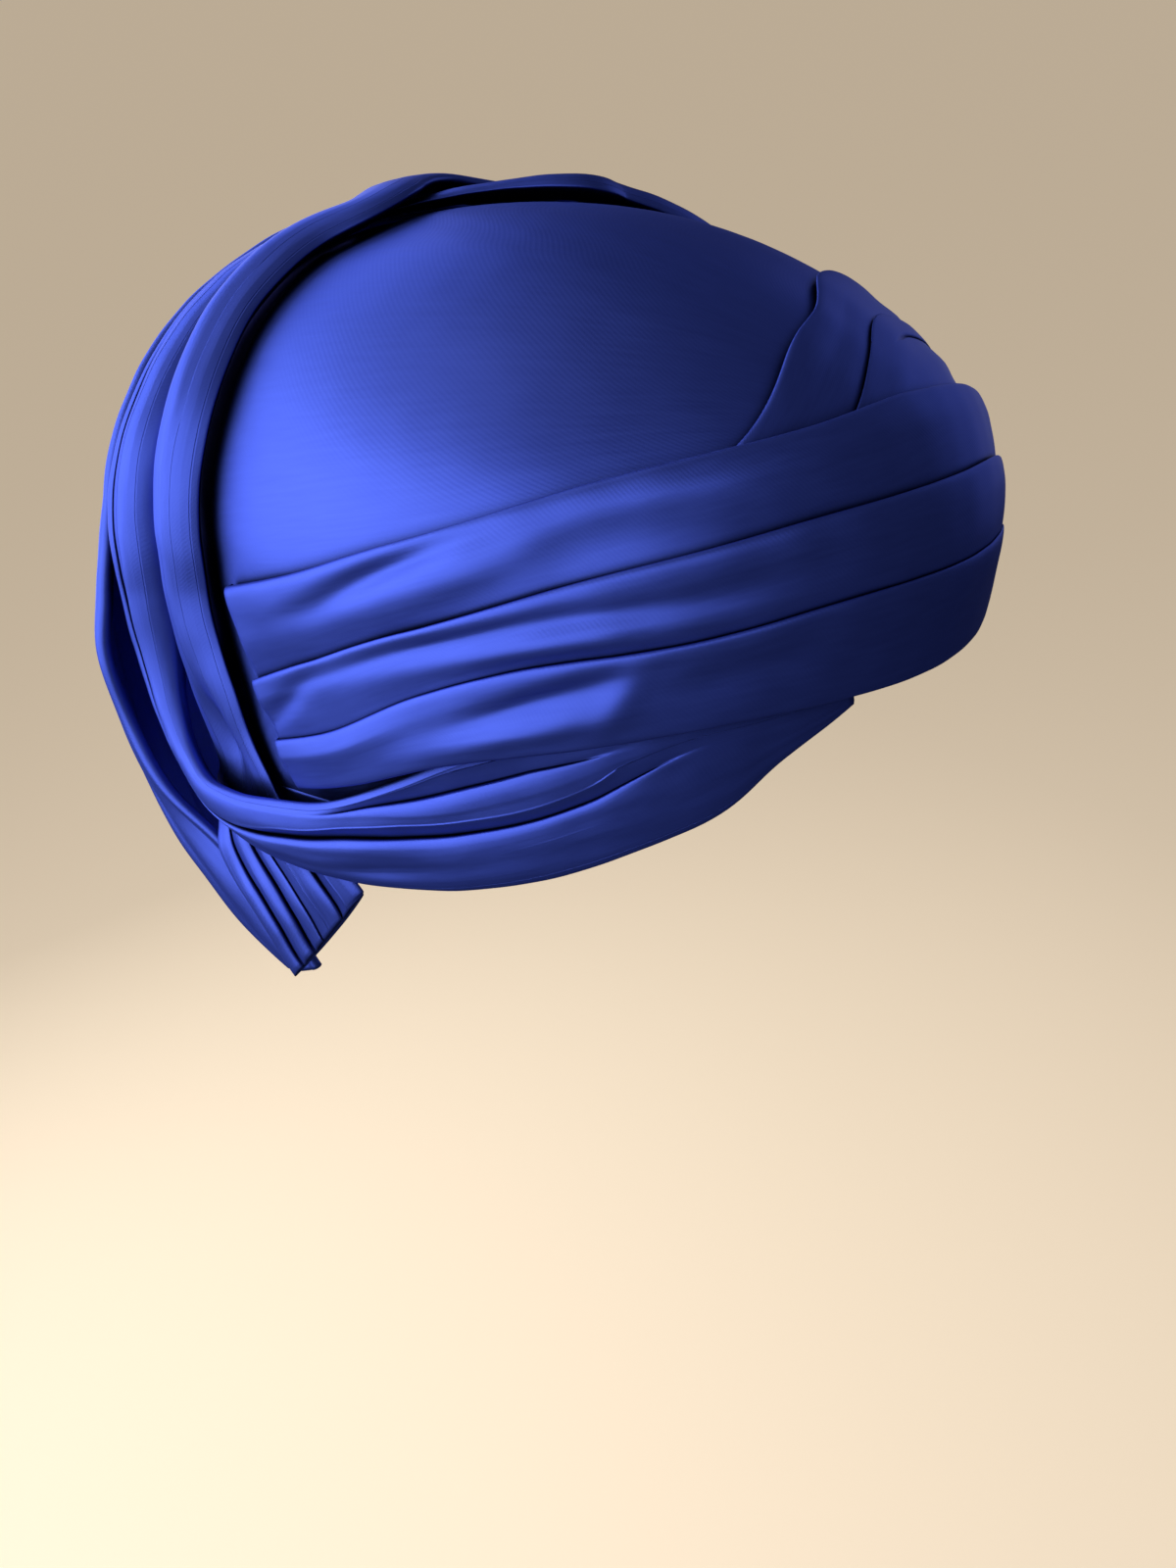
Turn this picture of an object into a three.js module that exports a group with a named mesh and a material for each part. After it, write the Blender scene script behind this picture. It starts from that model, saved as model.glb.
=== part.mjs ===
// Half hat of draped satin. Millimetres, +Z up, the wearer faces -Y, the wearer's right is -X.
import * as THREE from 'three';

// Driving sizes of the block that the crown was shaped on
const HALF_WIDTH = 78;
const FRONT_LENGTH = 93;
const BACK_LENGTH = 98;
const CROWN_RISE = 57;
const SKIRT_RISE = 240;
const WALL = 2;

// The origin is the inside top of the crown, where it sits
const SEAT = CROWN_RISE - WALL;

// Heights of the pleat folds over the cloth below them
const FOLD_PROUD = 2.8;
const PLEAT_LOW = 1.3;
const FOLD_LIP = 0.9;

// The crown is laid out round a middle tilted to the front, in this many columns and rows
const CROWN_TILT = 30;
const CROWN_COLUMNS = 56;
const CROWN_ROWS = 10;

// The binding fold's back edge clears the head line by this much, and has so many points across
const BACK_CLEAR = 1;
const BACK_ACROSS = 6;

const RAD = Math.PI / 180;

// Edge of the crown: turn from the front in degrees, height from the widest level in mm
const CROWN_EDGE = [
  { turn: 0, height: -12 },
  { turn: 25, height: -14 },
  { turn: 45, height: -32 },
  { turn: 60, height: -46 },
  { turn: 75, height: -54 },
  { turn: 90, height: -58 },
  { turn: 105, height: -63 },
  { turn: 117, height: -68 },
  { turn: 128, height: -70 },
  { turn: 136, height: -64 },
  { turn: 141, height: -50 },
  { turn: 143, height: -30 },
  { turn: 143, height: -8 },
  { turn: 144, height: 10 },
  { turn: 148, height: 23 },
  { turn: 157, height: 33 },
  { turn: 168, height: 38.5 },
  { turn: 180, height: 40 },
];

// The twist on the left runs further forward than on the right: by so many degrees at each height
const LEFT_LEAN = [
  { height: -60, lean: 0 },
  { height: -35, lean: 14 },
  { height: -10, lean: 22 },
  { height: 10, lean: 25 },
  { height: 30, lean: 31 },
  { height: 55, lean: 38 },
];

// Pleats of the right drape, from the twist at the right back to the left rim.
// lean is how far the lowest edge runs ahead of the first, lift is the clearance off the crown
// and tuck the extra clearance at the lowest edge.
const RIGHT_DRAPE = [
  { turn: 107, first: -7, second: -24, third: -35, lowest: -45, lean: -10, lift: 0.9, tuck: 1.5 },
  { turn: 95, first: 3, second: -13, third: -26, lowest: -37, lean: -10, lift: 0.9, tuck: 2.6 },
  { turn: 80, first: 15, second: -1, third: -13, lowest: -28, lean: -7, lift: 0.9, tuck: 3.0 },
  { turn: 60, first: 25, second: 10, third: -3, lowest: -20, lean: 0, lift: 1.6, tuck: 2.8 },
  { turn: 42, first: 31, second: 18, third: 3, lowest: -15, lean: 0, lift: 3.0, tuck: 1.0 },
  { turn: 24, first: 34, second: 21, third: 6, lowest: -14, lean: 0, lift: 3.1, tuck: -0.3 },
  { turn: 2, first: 35, second: 21, third: 6, lowest: -15, lean: 0, lift: 3.1, tuck: -1.1 },
  { turn: -18, first: 31, second: 16, third: 2, lowest: -17, lean: 0, lift: 3.1, tuck: -1.1 },
  { turn: -38, first: 18, second: 5, third: -7, lowest: -19, lean: 16, lift: 3.3, tuck: -1.1 },
  { turn: -56, first: 0, second: -13, third: -19, lowest: -20, lean: 32, lift: 4.4, tuck: -1.7 },
  { turn: -66, first: -21, second: -28, third: -27, lowest: -21, lean: 41, lift: 5.3, tuck: -2.4 },
  { turn: -71, first: -40, second: -39, third: -32, lowest: -21, lean: 45, lift: 5.8, tuck: -2.9 },
  { turn: -73, first: -56, second: -47, third: -35, lowest: -22, lean: 48, lift: 5.8, tuck: -2.9 },
];

// Pleats of the left drape, from the twist at the left back to where they tuck under the right ones
const LEFT_DRAPE = [
  { turn: -82, first: 15, second: -1, third: -15, lowest: -30, lean: -4, lift: 0.7, tuck: 2.6 },
  { turn: -71, first: 28, second: 11, third: -4, lowest: -22, lean: -1, lift: 0.7, tuck: 1.5 },
  { turn: -60, first: 37, second: 21, third: 4, lowest: -14, lean: 0, lift: 0.7, tuck: 0 },
  { turn: -40, first: 46, second: 33, third: 18, lowest: 0, lean: 0, lift: 0.7, tuck: 0 },
  { turn: -20, first: 49, second: 42, third: 31, lowest: 9, lean: 0, lift: 0.7, tuck: 0 },
  { turn: 0, first: 47, second: 39, third: 27, lowest: 6, lean: 0, lift: 0.7, tuck: 0 },
  { turn: 18, first: 42, second: 32, third: 18, lowest: 0, lean: 0, lift: 0.7, tuck: 0 },
  { turn: 36, first: 31, second: 19, third: 6, lowest: -8, lean: 0, lift: 0.7, tuck: 0 },
];

// One half of a twisted strand on the right: along the rim, round the side and up the back edge.
// lift is the clearance under it, wide and thick its section, groove the depth between its folds.
const OUTER_STRAND = [
  { turn: 21, height: -15, lift: 0.5, wide: 5, thick: 1.0, folds: 2, groove: 0 },
  { turn: 32, height: -19, lift: 0.7, wide: 14, thick: 1.6, folds: 2, groove: 0 },
  { turn: 42, height: -24, lift: 0.8, wide: 26, thick: 2.2, folds: 2, groove: 0.4 },
  { turn: 53, height: -30, lift: 0.8, wide: 30, thick: 2.6, folds: 2, groove: 0.45 },
  { turn: 64, height: -37, lift: 0.9, wide: 32, thick: 3.0, folds: 2, groove: 0.45 },
  { turn: 76, height: -46, lift: 1.2, wide: 27, thick: 4.2, folds: 2, groove: 0.45 },
  { turn: 88, height: -53, lift: 2.6, wide: 22, thick: 5.2, folds: 2, groove: 0.45 },
  { turn: 98, height: -56, lift: 5.2, wide: 18, thick: 6.0, folds: 2, groove: 0.45 },
  { turn: 107, height: -58.5, lift: 6.0, wide: 15, thick: 7.5, folds: 2, groove: 0.4 },
  { turn: 114.5, height: -58, lift: 5.4, wide: 14, thick: 9.5, folds: 2, groove: 0.4 },
  { turn: 120, height: -52, lift: 4.4, wide: 14, thick: 11.5, folds: 2, groove: 0.4 },
  { turn: 122.5, height: -42, lift: 3.2, wide: 15, thick: 13, folds: 2, groove: 0.4 },
  { turn: 124, height: -30, lift: 2.2, wide: 16, thick: 14, folds: 2, groove: 0.4 },
  { turn: 124.5, height: -17, lift: 1.8, wide: 17, thick: 14, folds: 2, groove: 0.4 },
  { turn: 125, height: -4, lift: 1.6, wide: 17, thick: 13, folds: 2, groove: 0.4 },
  { turn: 127.5, height: 9, lift: 1.4, wide: 17, thick: 11, folds: 2, groove: 0.4 },
  { turn: 132, height: 20, lift: 1.2, wide: 16.5, thick: 9, folds: 2, groove: 0.4 },
  { turn: 139, height: 30, lift: 1.1, wide: 16, thick: 7.5, folds: 2, groove: 0.4 },
  { turn: 148, height: 38, lift: 1.0, wide: 15, thick: 6.5, folds: 2, groove: 0.4 },
  { turn: 158, height: 43.5, lift: 0.9, wide: 14.5, thick: 5.2, folds: 2, groove: 0.3 },
];

// The other half on the right: down the back edge beside the crown, under the first and out as the tail
const INNER_STRAND = [
  { turn: 155, height: 51, lift: 1.2, wide: 14, thick: 6.5, folds: 2, groove: 0.4 },
  { turn: 142, height: 48.5, lift: 1.1, wide: 14, thick: 7.5, folds: 2, groove: 0.4 },
  { turn: 132, height: 44, lift: 1.1, wide: 14, thick: 8.5, folds: 2, groove: 0.4 },
  { turn: 124.5, height: 37, lift: 1.1, wide: 14, thick: 9, folds: 2, groove: 0.4 },
  { turn: 119.5, height: 30, lift: 1.1, wide: 15.5, thick: 9.5, folds: 2, groove: 0.4 },
  { turn: 116, height: 21, lift: 1.2, wide: 15.5, thick: 10, folds: 2, groove: 0.4 },
  { turn: 113.5, height: 10, lift: 1.2, wide: 15.5, thick: 10, folds: 2, groove: 0.4 },
  { turn: 112.5, height: -2, lift: 1.2, wide: 15.5, thick: 10, folds: 2, groove: 0.4 },
  { turn: 112.5, height: -14, lift: 1.2, wide: 15.5, thick: 9.5, folds: 2, groove: 0.4 },
  { turn: 111.5, height: -26, lift: 1.2, wide: 15, thick: 8, folds: 2, groove: 0.45 },
  { turn: 109, height: -37, lift: 1.0, wide: 16, thick: 6, folds: 2, groove: 0.45 },
  { turn: 106, height: -48, lift: 0.8, wide: 17, thick: 4, folds: 2, groove: 0.4 },
  { turn: 105.5, height: -58, lift: 0.8, wide: 20, thick: 3.2, folds: 3, groove: 0.1 },
  { turn: 107, height: -66, lift: 0.9, wide: 36, thick: 3.6, folds: 4, groove: 0.4 },
  { turn: 107, height: -74, lift: 1.4, wide: 44, thick: 5.0, folds: 4, groove: 0.5 },
  { turn: 105, height: -81.5, lift: 2.0, wide: 44, thick: 6.5, folds: 4, groove: 0.5 },
  { turn: 102, height: -88, lift: 2.6, wide: 36, thick: 7.0, folds: 4, groove: 0.5 },
  { turn: 98.5, height: -93.5, lift: 3.2, wide: 25, thick: 6.0, folds: 4, groove: 0.4 },
];

// Crossing of the two strands at the top of the back edge
const CROSS_UNDER = [
  { turn: 168, height: 47, lift: 0.9, wide: 14, thick: 4.0, folds: 2, groove: 0.1 },
  { turn: 180, height: 49.5, lift: 0.9, wide: 14, thick: 3.2, folds: 2, groove: 0 },
  { turn: 208, height: 51.5, lift: 0.9, wide: 14, thick: 4.6, folds: 2, groove: 0.1 },
];
const CROSS_OVER = [
  { turn: 155, height: 47.5, lift: 5.8, wide: 15, thick: 5.0, folds: 2, groove: 0.4 },
  { turn: 180, height: 50.3, lift: 5.2, wide: 16, thick: 5.0, folds: 2, groove: 0.4 },
  { turn: 192, height: 51, lift: 3.6, wide: 16, thick: 5.4, folds: 2, groove: 0.4 },
];

// Right half of the fold that binds the back edge, from the tail up to the middle of the back:
// its free front edge stands off the crown, and its back edge lies against the head
const BACK_FOLD = [
  { turn: 115.5, height: -107, stand: 7, backTurn: 120, backHeight: -109 },
  { turn: 115, height: -98, stand: 12, backTurn: 131, backHeight: -100 },
  { turn: 116.5, height: -88, stand: 15.5, backTurn: 137, backHeight: -89 },
  { turn: 119.5, height: -76, stand: 18.5, backTurn: 141.5, backHeight: -76 },
  { turn: 124, height: -63, stand: 20.5, backTurn: 144.5, backHeight: -63 },
  { turn: 127, height: -49, stand: 21.5, backTurn: 146.5, backHeight: -49 },
  { turn: 128.5, height: -34, stand: 21.5, backTurn: 148, backHeight: -34 },
  { turn: 129.5, height: -19, stand: 18.5, backTurn: 148.5, backHeight: -19 },
  { turn: 131, height: -5, stand: 14.5, backTurn: 148.5, backHeight: -6 },
  { turn: 133.5, height: 8, stand: 11, backTurn: 149.5, backHeight: 5 },
  { turn: 139, height: 19, stand: 8.5, backTurn: 152, backHeight: 14 },
  { turn: 146.5, height: 28, stand: 7, backTurn: 156.5, backHeight: 23 },
  { turn: 155.5, height: 36, stand: 6, backTurn: 163, backHeight: 30 },
  { turn: 166, height: 42, stand: 5.5, backTurn: 171, backHeight: 35 },
  { turn: 180, height: 44, stand: 5, backTurn: 180, backHeight: 37 },
];

// A place on the block, with its outward direction
function place(turn, height, lift) {
  const angle = turn * RAD;
  const length = Math.cos(angle) >= 0 ? FRONT_LENGTH : BACK_LENGTH;
  const rise = height >= 0 ? CROWN_RISE : SKIRT_RISE;
  const spread = Math.sqrt(Math.max(0, 1 - (height / rise) ** 2));
  const x = -HALF_WIDTH * spread * Math.sin(angle);
  const y = -length * spread * Math.cos(angle);
  const out = new THREE.Vector3(x / HALF_WIDTH ** 2, y / length ** 2, height / rise ** 2).normalize();
  const at = new THREE.Vector3(x, y, height - SEAT).addScaledVector(out, lift);
  return { at, out };
}

// Smooth value of one column part way between rows
function column(rows, t, key) {
  const last = rows.length - 1;
  const i = Math.min(Math.floor(t), last - 1);
  const f = t - i;
  const b = rows[i][key];
  const c = rows[i + 1][key];
  const a = i > 0 ? rows[i - 1][key] : 2 * b - c;
  const d = i + 2 <= last ? rows[i + 2][key] : 2 * c - b;
  const slope = (c - a) / 2;
  const next = (d - b) / 2;
  return b + slope * f + (3 * (c - b) - 2 * slope - next) * f ** 2 + (slope + next - 2 * (c - b)) * f ** 3;
}

// A whole row at that spot
function rowAt(rows, t) {
  const row = {};
  for (const key of Object.keys(rows[0])) row[key] = column(rows, t, key);
  return row;
}

// Evenly spread spots along a table, so many to each gap between rows
function spots(rows, each) {
  const list = [];
  for (let i = 0; i <= (rows.length - 1) * each; i += 1) list.push(i / each);
  return list;
}

// The same table on the other side of the hat
function mirrored(rows) {
  return rows.map((row) => {
    const copy = { ...row, turn: -row.turn };
    if ('lean' in row) copy.lean = -row.lean;
    return copy;
  });
}

// A row that belongs to the left side, measured to the left, drawn forward by the lean of its height
function leftTurn(turn, height) {
  const last = LEFT_LEAN.length - 1;
  let i = 0;
  while (i < last - 1 && LEFT_LEAN[i + 1].height < height) i += 1;
  const [a, b] = [LEFT_LEAN[i], LEFT_LEAN[i + 1]];
  const share = THREE.MathUtils.clamp((height - a.height) / (b.height - a.height), 0, 1);
  const fade = THREE.MathUtils.clamp((turn - 90) / 20, 0, 1) * THREE.MathUtils.clamp((180 - turn) / 25, 0, 1);
  return turn - (a.lean + (b.lean - a.lean) * share) * fade;
}

// Closed solid from stations, each an outer and an inner line of points of equal count
function solid(name, stations, colour) {
  const count = stations[0].outer.length;
  const ring = 2 * count;
  const points = [];
  for (const s of stations) points.push(...s.outer, ...[...s.inner].reverse());
  const index = [];
  for (let i = 0; i + 1 < stations.length; i += 1) {
    for (let j = 0; j < ring; j += 1) {
      const a = i * ring + j;
      const b = i * ring + (j + 1) % ring;
      index.push(a, b, a + ring, b, b + ring, a + ring);
    }
  }
  for (const [start, flip] of [[0, false], [(stations.length - 1) * ring, true]]) {
    for (let j = 0; j + 1 < count; j += 1) {
      const o = start + j;
      const p = start + ring - 1 - j;
      const faces = [[o, p, o + 1], [o + 1, p, p - 1]];
      for (const [a, b, c] of faces) index.push(...(flip ? [a, c, b] : [a, b, c]));
    }
  }
  return mesh(name, points, index, colour);
}

// Mesh with its faces turned outward
function mesh(name, points, index, colour) {
  let volume = 0;
  for (let i = 0; i < index.length; i += 3) {
    const [a, b, c] = [points[index[i]], points[index[i + 1]], points[index[i + 2]]];
    volume += a.dot(new THREE.Vector3().crossVectors(b, c));
  }
  if (volume < 0) {
    for (let i = 0; i < index.length; i += 3) [index[i], index[i + 1]] = [index[i + 1], index[i]];
  }
  const geometry = new THREE.BufferGeometry();
  const numbers = points.flatMap((p) => [p.x, p.y, p.z]);
  geometry.setAttribute('position', new THREE.Float32BufferAttribute(numbers, 3));
  geometry.setIndex(index);
  geometry.computeVertexNormals();
  const item = new THREE.Mesh(geometry, new THREE.MeshStandardMaterial({ color: colour }));
  item.name = name;
  return item;
}

// Direction of a place seen from the tilted middle of the crown: round it, and out from it
function bearing(turn, height) {
  const rise = height >= 0 ? CROWN_RISE : SKIRT_RISE;
  const spread = Math.sqrt(1 - (height / rise) ** 2);
  const [x, y] = [-spread * Math.sin(turn * RAD), -spread * Math.cos(turn * RAD)];
  const way = new THREE.Vector3(x, y, height / rise);
  way.applyAxisAngle(new THREE.Vector3(1, 0, 0), -CROWN_TILT * RAD);
  return { round: Math.atan2(-way.x, -way.y) / RAD, out: Math.acos(way.z) / RAD };
}

// The place at a direction from the tilted middle
function crownPlace(round, out, lift) {
  const across = Math.sin(out * RAD);
  const [x, y] = [-across * Math.sin(round * RAD), -across * Math.cos(round * RAD)];
  const way = new THREE.Vector3(x, y, Math.cos(out * RAD));
  way.applyAxisAngle(new THREE.Vector3(1, 0, 0), CROWN_TILT * RAD);
  const height = way.z * (way.z >= 0 ? CROWN_RISE : SKIRT_RISE);
  return place(Math.atan2(-way.x, -way.y) / RAD, height, lift).at;
}

// Hollow crown, open below and at the back
function crown() {
  const left = CROWN_EDGE.map((row) => ({ ...row, turn: leftTurn(row.turn, row.height) }));
  const [rightEdge, leftEdge] = [CROWN_EDGE, left].map((rows) => spots(rows, 8).map((t) => {
    const row = rowAt(rows, t);
    return bearing(row.turn, row.height);
  }));
  const reach = (round) => {
    const at = Math.abs(round);
    const edge = round >= 0 ? rightEdge : leftEdge;
    let i = 0;
    while (i < edge.length - 2 && edge[i + 1].round < at) i += 1;
    const f = (at - edge[i].round) / (edge[i + 1].round - edge[i].round);
    return edge[i].out * (1 - f) + edge[i + 1].out * f;
  };
  const points = [];
  const index = [];
  const side = (lift) => {
    const top = points.push(crownPlace(0, 0, lift)) - 1;
    const rings = [];
    for (let r = 1; r <= CROWN_ROWS; r += 1) {
      const ring = [];
      for (let c = 0; c < CROWN_COLUMNS; c += 1) {
        const round = 360 * c / CROWN_COLUMNS - 180;
        ring.push(points.push(crownPlace(round, reach(round) * r / CROWN_ROWS, lift)) - 1);
      }
      rings.push(ring);
    }
    return { top, rings };
  };
  const outer = side(0);
  const inner = side(-WALL);
  for (let c = 0; c < CROWN_COLUMNS; c += 1) {
    const d = (c + 1) % CROWN_COLUMNS;
    for (const [shell, flip] of [[outer, false], [inner, true]]) {
      const faces = [[shell.top, shell.rings[0][d], shell.rings[0][c]]];
      for (let r = 0; r + 1 < CROWN_ROWS; r += 1) {
        const [p, q] = [shell.rings[r][c], shell.rings[r][d]];
        const [u, v] = [shell.rings[r + 1][c], shell.rings[r + 1][d]];
        faces.push([p, q, u], [q, v, u]);
      }
      for (const [p, q, u] of faces) index.push(...(flip ? [p, u, q] : [p, q, u]));
    }
    const [p, q] = [outer.rings[CROWN_ROWS - 1][c], outer.rings[CROWN_ROWS - 1][d]];
    const [u, v] = [inner.rings[CROWN_ROWS - 1][c], inner.rings[CROWN_ROWS - 1][d]];
    index.push(p, q, u, q, v, u);
  }
  return mesh('crown', points, index, 0x2038a8);
}

// Pleated drape: each fold stands proud of the cloth above it
function drape(name, rows, proud, low) {
  const names = ['first', 'second', 'third', 'lowest'];
  const stations = spots(rows, 3).map((t) => {
    const row = rowAt(rows, t);
    const outer = [];
    const inner = [];
    const add = (share, lip, lift) => {
      const i = Math.min(Math.floor(share), 2);
      const f = share - i;
      const height = row[names[i]] * (1 - f) + row[names[i + 1]] * f + lip;
      const turn = row.turn + row.lean * share / 3;
      const clear = row.lift + row.tuck * (share / 3) ** 2;
      outer.push(place(turn, height, clear + lift).at);
      inner.push(place(turn, height, clear).at);
    };
    for (let fold = 0; fold < 3; fold += 1) {
      add(fold, 0, proud);
      add(fold + 0.33, 0, (2 * proud + low) / 3);
      add(fold + 0.66, 0, (proud + 2 * low) / 3);
      add(fold + 1, fold < 2 ? FOLD_LIP : 0, low);
    }
    return { outer, inner };
  });
  return solid(name, stations, 0x1c30a0);
}

// Soft rolled strand along a table of places
function strand(name, rows, each, across, colour) {
  const list = spots(rows, each).map((t) => {
    const row = rowAt(rows, t);
    const middle = place(row.turn, row.height, row.lift + row.thick / 2);
    return { row, ...middle };
  });
  const stations = list.map((s, i) => {
    const ahead = list[Math.min(i + 1, list.length - 1)].at;
    const behind = list[Math.max(i - 1, 0)].at;
    const along = new THREE.Vector3().subVectors(ahead, behind).normalize();
    const side = new THREE.Vector3().crossVectors(along, s.out).normalize();
    const up = new THREE.Vector3().crossVectors(side, along).normalize();
    const outer = [];
    const inner = [];
    for (let j = 0; j < across; j += 1) {
      const angle = Math.PI * (j + 0.5) / across;
      const u = -Math.cos(angle);
      const valley = 0.5 + 0.5 * Math.cos(Math.PI * s.row.folds * (u + 1));
      const rise = Math.sin(angle) ** 0.8 * s.row.thick / 2;
      const spot = s.at.clone().addScaledVector(side, u * s.row.wide / 2);
      outer.push(spot.clone().addScaledVector(up, rise * (1 - s.row.groove * valley)));
      inner.push(spot.clone().addScaledVector(up, -rise));
    }
    return { outer, inner };
  });
  return solid(name, stations, colour);
}

// The strand that starts on one side, crosses at the back and ends on the other; the left half is leaned
function acrossBack(cross, startsLeft) {
  const lean = (row) => ({ ...row, turn: leftTurn(row.turn, row.height) });
  const near = startsLeft ? OUTER_STRAND.map(lean) : OUTER_STRAND;
  const far = startsLeft ? INNER_STRAND : INNER_STRAND.map(lean);
  return [...near, ...cross, ...far.map((row) => ({ ...row, turn: 360 - row.turn }))];
}

// Binding fold of the back edge, a curved wall from its free front edge round to its back edge
function backFold() {
  const opposite = (row) => ({
    ...row,
    turn: 360 - leftTurn(row.turn, row.height),
    backTurn: 360 - leftTurn(row.backTurn, row.backHeight),
  });
  const far = BACK_FOLD.slice(0, -1).map(opposite);
  const rows = [...BACK_FOLD, ...far.reverse()];
  const stations = spots(rows, 2).map((t) => {
    const row = rowAt(rows, t);
    const line = (wall) => {
      const points = [];
      for (let j = 0; j < BACK_ACROSS; j += 1) {
        const angle = Math.PI / 2 * j / (BACK_ACROSS - 1);
        const share = Math.sin(angle);
        const turn = row.turn * (1 - share) + row.backTurn * share;
        const height = row.height * (1 - share) + row.backHeight * share;
        const inward = place(turn, height, 0).out.multiplyScalar(-wall);
        points.push(place(turn, height, BACK_CLEAR + row.stand * Math.cos(angle)).at.add(inward));
      }
      return points;
    };
    return { outer: line(0), inner: line(WALL) };
  });
  return solid('back_fold', stations, 0x3050d0);
}

const hat = new THREE.Group();
hat.name = 'half_hat';
hat.add(crown());
hat.add(drape('right_drape', RIGHT_DRAPE, FOLD_PROUD, PLEAT_LOW));
hat.add(drape('left_drape', LEFT_DRAPE, FOLD_PROUD - 1.1, PLEAT_LOW));
hat.add(strand('twist_under', acrossBack(CROSS_UNDER, false), 2, 8, 0x2a48c8));
hat.add(strand('twist_over', mirrored(acrossBack(CROSS_OVER, true)), 2, 8, 0x2440b8));
hat.add(backFold());

export default hat;
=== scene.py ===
# %% [markdown]
# # A draped satin half hat
# This lesson dresses a half hat: a smooth satin crown, pleated drapes that cross over the front, and two
# twisted strands that run along the rim, up the open back edge and down again into gathered tails. The
# imported solids give every place and size, so the first cell loads them and bakes their placement into their
# meshes.

# %% Load the frame
import bpy
import numpy as np
from mathutils import Matrix, Vector


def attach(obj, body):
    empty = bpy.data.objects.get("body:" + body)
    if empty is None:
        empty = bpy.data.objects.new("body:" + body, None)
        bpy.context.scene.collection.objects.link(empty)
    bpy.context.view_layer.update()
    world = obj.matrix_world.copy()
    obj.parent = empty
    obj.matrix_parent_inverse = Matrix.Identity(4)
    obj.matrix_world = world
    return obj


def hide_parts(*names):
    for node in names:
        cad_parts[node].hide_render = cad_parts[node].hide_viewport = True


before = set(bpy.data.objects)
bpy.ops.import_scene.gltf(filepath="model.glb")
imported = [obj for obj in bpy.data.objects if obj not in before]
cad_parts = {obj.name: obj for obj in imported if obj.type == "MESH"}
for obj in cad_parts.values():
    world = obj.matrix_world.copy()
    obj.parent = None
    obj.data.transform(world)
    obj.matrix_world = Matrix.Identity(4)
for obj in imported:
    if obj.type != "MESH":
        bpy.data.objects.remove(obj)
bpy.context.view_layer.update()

print("nodes:", sorted(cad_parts))

# %% [markdown]
# ## The hat block
# A milliner shapes a hat on a wooden block, and all the cloth here lies on such a form: an egg seen from
# above, a flat dome over its widest level and slowly closing sides below it. A place on the hat is then
# three plain numbers: the turn in degrees from the front towards the wearer's right, the height in mm over
# the widest level, and the lift in mm off the block. That is far easier to read than x, y and z.

# %% Places on the hat block
HALF_WIDTH = 78.0
FRONT_LENGTH = 93.0
BACK_LENGTH = 98.0
CROWN_RISE = 57.0
SKIRT_RISE = 240.0
# The widest level lies this far below the inside top of the crown, where the frame has its origin
SEAT = 55.0


def unit(ways):
    """Directions brought to length 1."""
    return ways / np.linalg.norm(ways, axis=-1, keepdims=True)


def place(turn, height, lift):
    """Points in mm for arrays of turn, height and lift, and the block's outward direction there."""
    angle = np.radians(turn)
    length = np.where(np.cos(angle) >= 0, FRONT_LENGTH, BACK_LENGTH)
    rise = np.where(height >= 0, CROWN_RISE, SKIRT_RISE)
    spread = np.sqrt(np.maximum(1 - (height / rise) ** 2, 0))
    x = -HALF_WIDTH * spread * np.sin(angle)
    y = -length * spread * np.cos(angle)
    out = unit(np.stack([x / HALF_WIDTH**2, y / length**2, height / rise**2], axis=-1))
    return np.stack([x, y, height - SEAT], axis=-1) + out * np.asarray(lift)[..., None], out


print("front of the block, mm:", np.round(place(np.array(0.0), np.array(0.0), np.array(0.0))[0], 1))

# %% [markdown]
# ## Short tables, smooth curves
# Cloth edges are long soft curves. Each is kept as a short table with named columns, one row for each place
# where its bend changes, and a Catmull-Rom spline runs smoothly through the rows. A spline through few
# points gives even curves with nothing to smooth afterwards.

# %% Tables and splines


def table(columns, *rows):
    """Named columns from rows of numbers."""
    return dict(zip(columns.split(), np.array(rows, dtype=float).T))


def spline(values, at):
    """A smooth curve through the values on the last axis, read at the row numbers at."""
    last = values.shape[-1] - 1
    row = np.clip(np.floor(at).astype(int), 0, max(last - 1, 0))
    part = at - row
    b, c = values[..., row], values[..., row + 1]
    a = np.where(row > 0, values[..., np.maximum(row - 1, 0)], 2 * b - c)
    d = np.where(row + 2 <= last, values[..., np.minimum(row + 2, last)], 2 * c - b)
    bend = 2 * a - 5 * b + 4 * c - d
    twist = 3 * b - a - 3 * c + d
    return 0.5 * (2 * b + (c - a) * part + bend * part**2 + twist * part**3)


def stations(rows, fine):
    """Row numbers with fine steps from each row to the next, and all columns read there."""
    count = len(next(iter(rows.values())))
    at = np.linspace(0, count - 1, (count - 1) * fine + 1)
    return at, {name: spline(values, at) for name, values in rows.items()}


def ramp(past, length):
    """How far along a slope of this length: 0 before it, 1 after it."""
    return np.clip(past / length, 0, 1)


print("spline test, half way between 0 and 1:", spline(np.array([0.0, 0.0, 1.0, 1.0]), np.array([1.5])))

# %% [markdown]
# ## Uneven cloth
# No cloth lies perfectly even, and satin shows it more than any other. A few long waves that run in chance
# directions add up to soft unevenness. A displacement texture could do the same, but waves in mm need no
# texture, and a seed gives each piece its own.

# %% Ripples
RIPPLE_WAVES = 7
RIPPLE_SPREAD = (0.7, 1.5)
# Seven waves in chance directions seldom add up to more than this
RIPPLE_MOST = 4


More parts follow.
